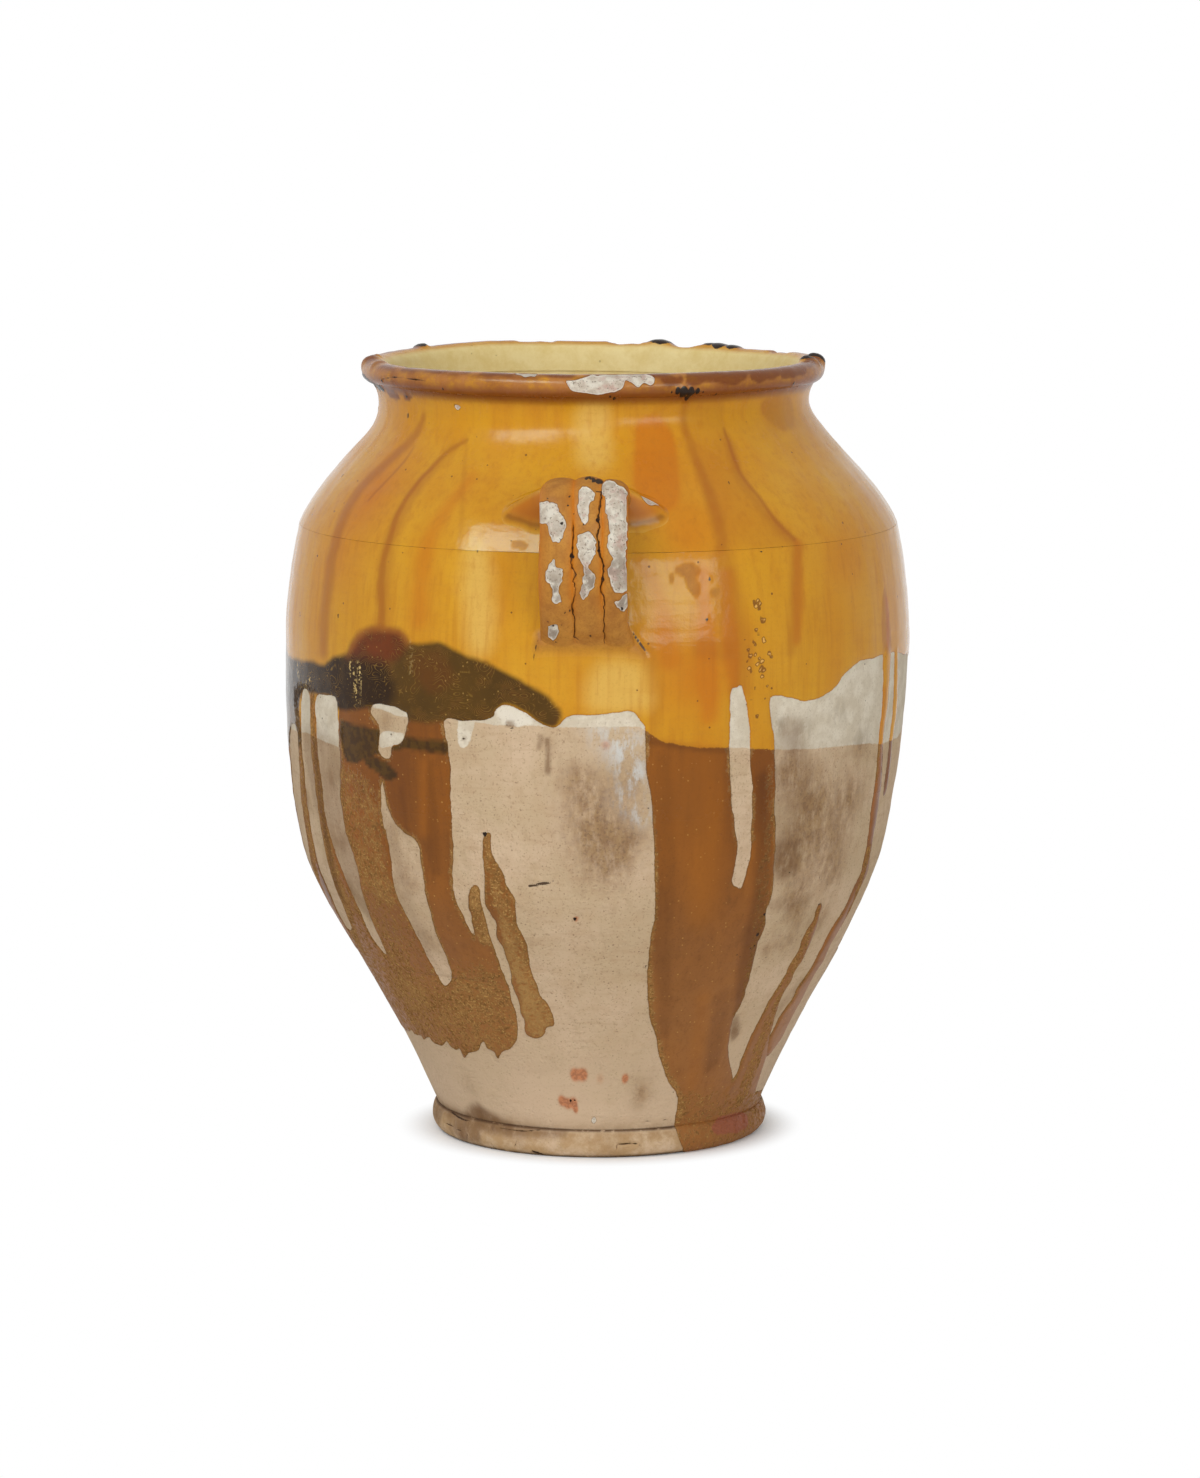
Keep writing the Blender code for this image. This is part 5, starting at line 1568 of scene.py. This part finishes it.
def bare_colour(slip, mark, grain):
    """Fired clay with its rings, grains, weathering and rust, painted light and shade near the foot, and the
    white slip above it.
    """
    soil = blend(step(grain.middle, 0.35, 0.65), (146, 114, 82), (162, 130, 92))
    soil = blend(0.5 * step(grain.grains, 0.52, 0.64), soil, (118, 92, 72))
    rusty = blend(0.6 * step(grain.grains, 0.45, 0.60), (196, 122, 78), (146, 82, 50))
    near_foot_lightened = 1 - step(mark.up, 0.012, 0.075)
    roll = 1 - step(mark.up, FOOT_TOP - 0.002, FOOT_TOP)
    from_shaded_crease = calculate("ABSOLUTE", mark.up - FOOT_TOP)
    clay = blend(step(grain.broad, 0.35, 0.65), (208, 182, 151), (197, 172, 138))
    clay = painted(clay, [
        (0.35 * step(grain.cloudy, 0.45, 0.65), (188, 156, 122)),
        (0.30 * step(grain.rings, 0.52, 0.72), (180, 148, 116)),
        (0.25 * step(grain.smear, 0.52, 0.68), (168, 138, 106)),
        (0.45 * step(grain.fine, 0.57, 0.70), (150, 118, 88)),
        (0.5 * grain.specks, (112, 82, 56)),
        # Paler clay near the foot: partly its tone, partly painted light making up for the weaker light low
        # on the jar.
        (0.7 * near_foot_lightened * step(grain.cloudy, 0.1, 0.6), (214, 189, 160)),
        (0.85 * roll * step(grain.cloudy, 0.3, 0.6), (180, 146, 102)),
        (mark.weather * step(grain.smear, 0.15, 0.62), soil),
        (mark.bloom * step(grain.smear, 0.40, 0.60), (208, 208, 204)),
        (0.85 * step(mark.rust, 0.05, 0.60), rusty),
        # Dirt, and painted shade along the foot's crease, on the clay.
        (0.85 * mark.dirt * step(grain.smear, 0.15, 0.5), (112, 78, 50)),
        # Painted shade with some dirt in the crease where the foot coil meets the wall: a wide soft band and
        # a thin dark line.
        (0.40 * (1 - step(from_shaded_crease, 0.0004, 0.0070)) * step(grain.cloudy, 0.30, 0.60), (148, 116, 80)),
        (0.90 * (1 - step(from_shaded_crease, 0.0002, 0.0011)) * step(grain.middle, 0.25, 0.45), (84, 58, 38)),
        # Painted contact shadow: a dark band along the foot's bottom edge where it meets the floor.
        (0.85 * (1 - step(mark.up, 0.0004, 0.0022)) * step(grain.middle, 0.2, 0.5), (78, 58, 40)),
    ])
    white = blend(step(grain.cloudy, 0.35, 0.6), (223, 212, 191), (206, 192, 168))
    white = painted(white, [
        (0.8 * mark.weather * step(grain.smear, 0.38, 0.60), (146, 130, 110)),
        (0.6 * mark.whitened, (230, 221, 204)),
        (0.8 * mark.dirt, (140, 112, 86)),
        (0.35 * step(grain.fine, 0.58, 0.72), (160, 138, 110)),
        (0.7 * grain.pits, (90, 68, 46)),
    ])
    return blend(slip, clay, white)


def coat_colour(slip, crusty, place, mark, grain):
    """The glaze: honey over slip, amber over clay, with crust, stain, bubbles, browned rim and straps, and
    painted shade under the roll.
    """
    deep = mark.deep * (0.5 * grain.vertical + 0.5)
    brushed = step(grain.brush, 0.45, 0.75)
    stroke = blend(step(grain.middle, 0.4, 0.6), (80, 56, 14), (60, 40, 12))
    edge_tone = blend(slip, (110, 76, 34), (178, 108, 28))
    flecks = mark.gold * step(grain.brush, 0.46, 0.52) * step(grain.grains, 0.50, 0.56)
    rolled = blend(step(grain.vertical, 0.35, 0.65), (174, 112, 62), (148, 90, 48))
    from_roll_shade = calculate("ABSOLUTE", mark.up - (COLLAR + 0.0002))
    ring = step(mark.pimple, -0.25, 0.0) * (1 - step(mark.pimple, 0.1, 0.4))
    coat = blend(slip, amber_colour(deep, brushed, mark, grain), honey_colour(deep, brushed, mark, grain))
    return painted(coat, [
        (0.85 * crusty, crust_colour(deep, mark, grain)),
        (0.92 * mark.olive, stroke),
        (0.5 * (1 - step(mark.glaze, 0.1, 0.8)), edge_tone),
        (wavering(mark.stain, grain.cloudy, 1.6, -1.8, 1.4), stain_colour(place, mark, grain)),
        (flecks, (226, 192, 120)),
        (0.85 * mark.dull * step(grain.cloudy, 0.25, 0.55), rolled),
        # Painted shade: a dark brown band on the neck just under the rim's roll.
        (0.8 * (1 - step(from_roll_shade, 0.0008, 0.0052)), (124, 66, 28)),
        (0.85 * mark.brown, (116, 60, 25)),
        (0.85 * ring, (122, 72, 26)),
        (0.6 * step(mark.pimple, 0.1, 0.4), (232, 188, 108)),
        (0.85 * mark.worn, strap_colour(brushed, mark, grain)),
        (0.85 * mark.furrow, (210, 122, 16)),
    ])


def honey_colour(deep, brushed, mark, grain):
    honey = blend(step(grain.vertical, 0.3, 0.7), (210, 151, 32), (204, 139, 27))
    return painted(honey, [
        (0.35 * step(grain.broad, 0.4, 0.7), (216, 160, 46)),
        (0.22 * step(grain.cloudy, 0.48, 0.72), (186, 114, 22)),
        (0.7 * mark.orange, (196, 106, 16)),
        (deep, (158, 86, 24)),
        (0.6 * mark.pale, (226, 188, 100)),
        (0.30 * brushed, (178, 102, 24)),
        (0.14 * step(grain.fine, 0.52, 0.70), (166, 106, 36)),
        (0.10 * step(grain.rings, 0.5, 0.7), (186, 120, 40)),
        (0.8 * grain.pits, (104, 56, 22)),
    ])


def amber_colour(deep, brushed, mark, grain):
    amber = blend(step(grain.vertical, 0.3, 0.7), (150, 88, 24), (124, 70, 20))
    return painted(amber, [
        (0.45 * step(grain.broad, 0.40, 0.70), (114, 68, 28)),
        (0.7 * (1 - step(mark.up, 0.05, 0.17)), (158, 106, 56)),
        (0.25 * brushed, (104, 60, 22)),
        (0.25 * step(grain.cloudy, 0.5, 0.7), (112, 70, 30)),
        (0.22 * step(grain.fine, 0.55, 0.68), (96, 58, 24)),
        (0.6 * grain.specks, (196, 146, 74)),
        (0.65 * mark.orange, (172, 102, 26)),
        (deep, (92, 50, 14)),
    ])


def crust_colour(deep, mark, grain):
    """Rough, unmelted glaze on the runs."""
    crust = blend(step(grain.cloudy, 0.40, 0.60), (138, 100, 54), (164, 124, 72))
    return painted(crust, [
        (0.5 * step(grain.grains, 0.52, 0.62), (86, 58, 30)),
        (0.75 * step(grain.fine, 0.56, 0.64), (200, 158, 92)),
        (mark.rust * step(grain.middle, 0.4, 0.55), (150, 78, 44)),
        (0.8 * deep, (90, 58, 30)),
        (0.6 * mark.pale, (180, 142, 86)),
    ])


def stain_colour(place, mark, grain):
    """The smoky stain: olive, reddish at its top and darkest at the left, with gold crazing and specks."""
    reddish = blend(step(grain.cloudy, 0.35, 0.65), (116, 54, 16), (94, 44, 14))
    reddish = blend(0.8 * (1 - step(mark.stain, 0.4, 4.0)), reddish, (164, 98, 32))
    bent = on_vectors("ADD", place, stretched(noise(place, 60.0, 1.0, output="Color"), 0.012, 0.012, 0.012))
    waves = noise(stretched(bent, 0.6, 0.6, 1.0), 120.0, 1.0)
    from_line = calculate("ABSOLUTE", calculate("FRACT", 26.0 * waves) - 0.5)
    crazing = 1 - step(from_line, 0.0, 0.13)
    olive = blend(step(grain.broad, 0.35, 0.65), (90, 62, 14), (78, 53, 12))
    return painted(olive, [
        (0.35 * step(grain.cloudy, 0.45, 0.65), (104, 62, 22)),
        (mark.red, reddish),
        (0.9 * mark.dark, (44, 24, 3)),
        (0.60 * crazing * step(grain.cloudy, 0.42, 0.58), (156, 118, 46)),
        (0.35 * grain.specks, (206, 160, 80)),
    ])


def strap_colour(brushed, mark, grain):
    """Dull, rubbed glaze on the straps, and a brighter orange where the orange mark lies, which on the
    luting's wings is painted shade on their undersides.
    """
    rubbed = blend(step(grain.cloudy, 0.35, 0.65), (188, 130, 58), (160, 102, 48))
    return painted(rubbed, [
        (0.35 * brushed, (142, 88, 36)),
        (0.3 * step(grain.fine, 0.52, 0.68), (130, 80, 34)),
        (0.8 * grain.pits, (90, 48, 20)),
        (mark.orange, (176, 104, 22)),
    ])


main()
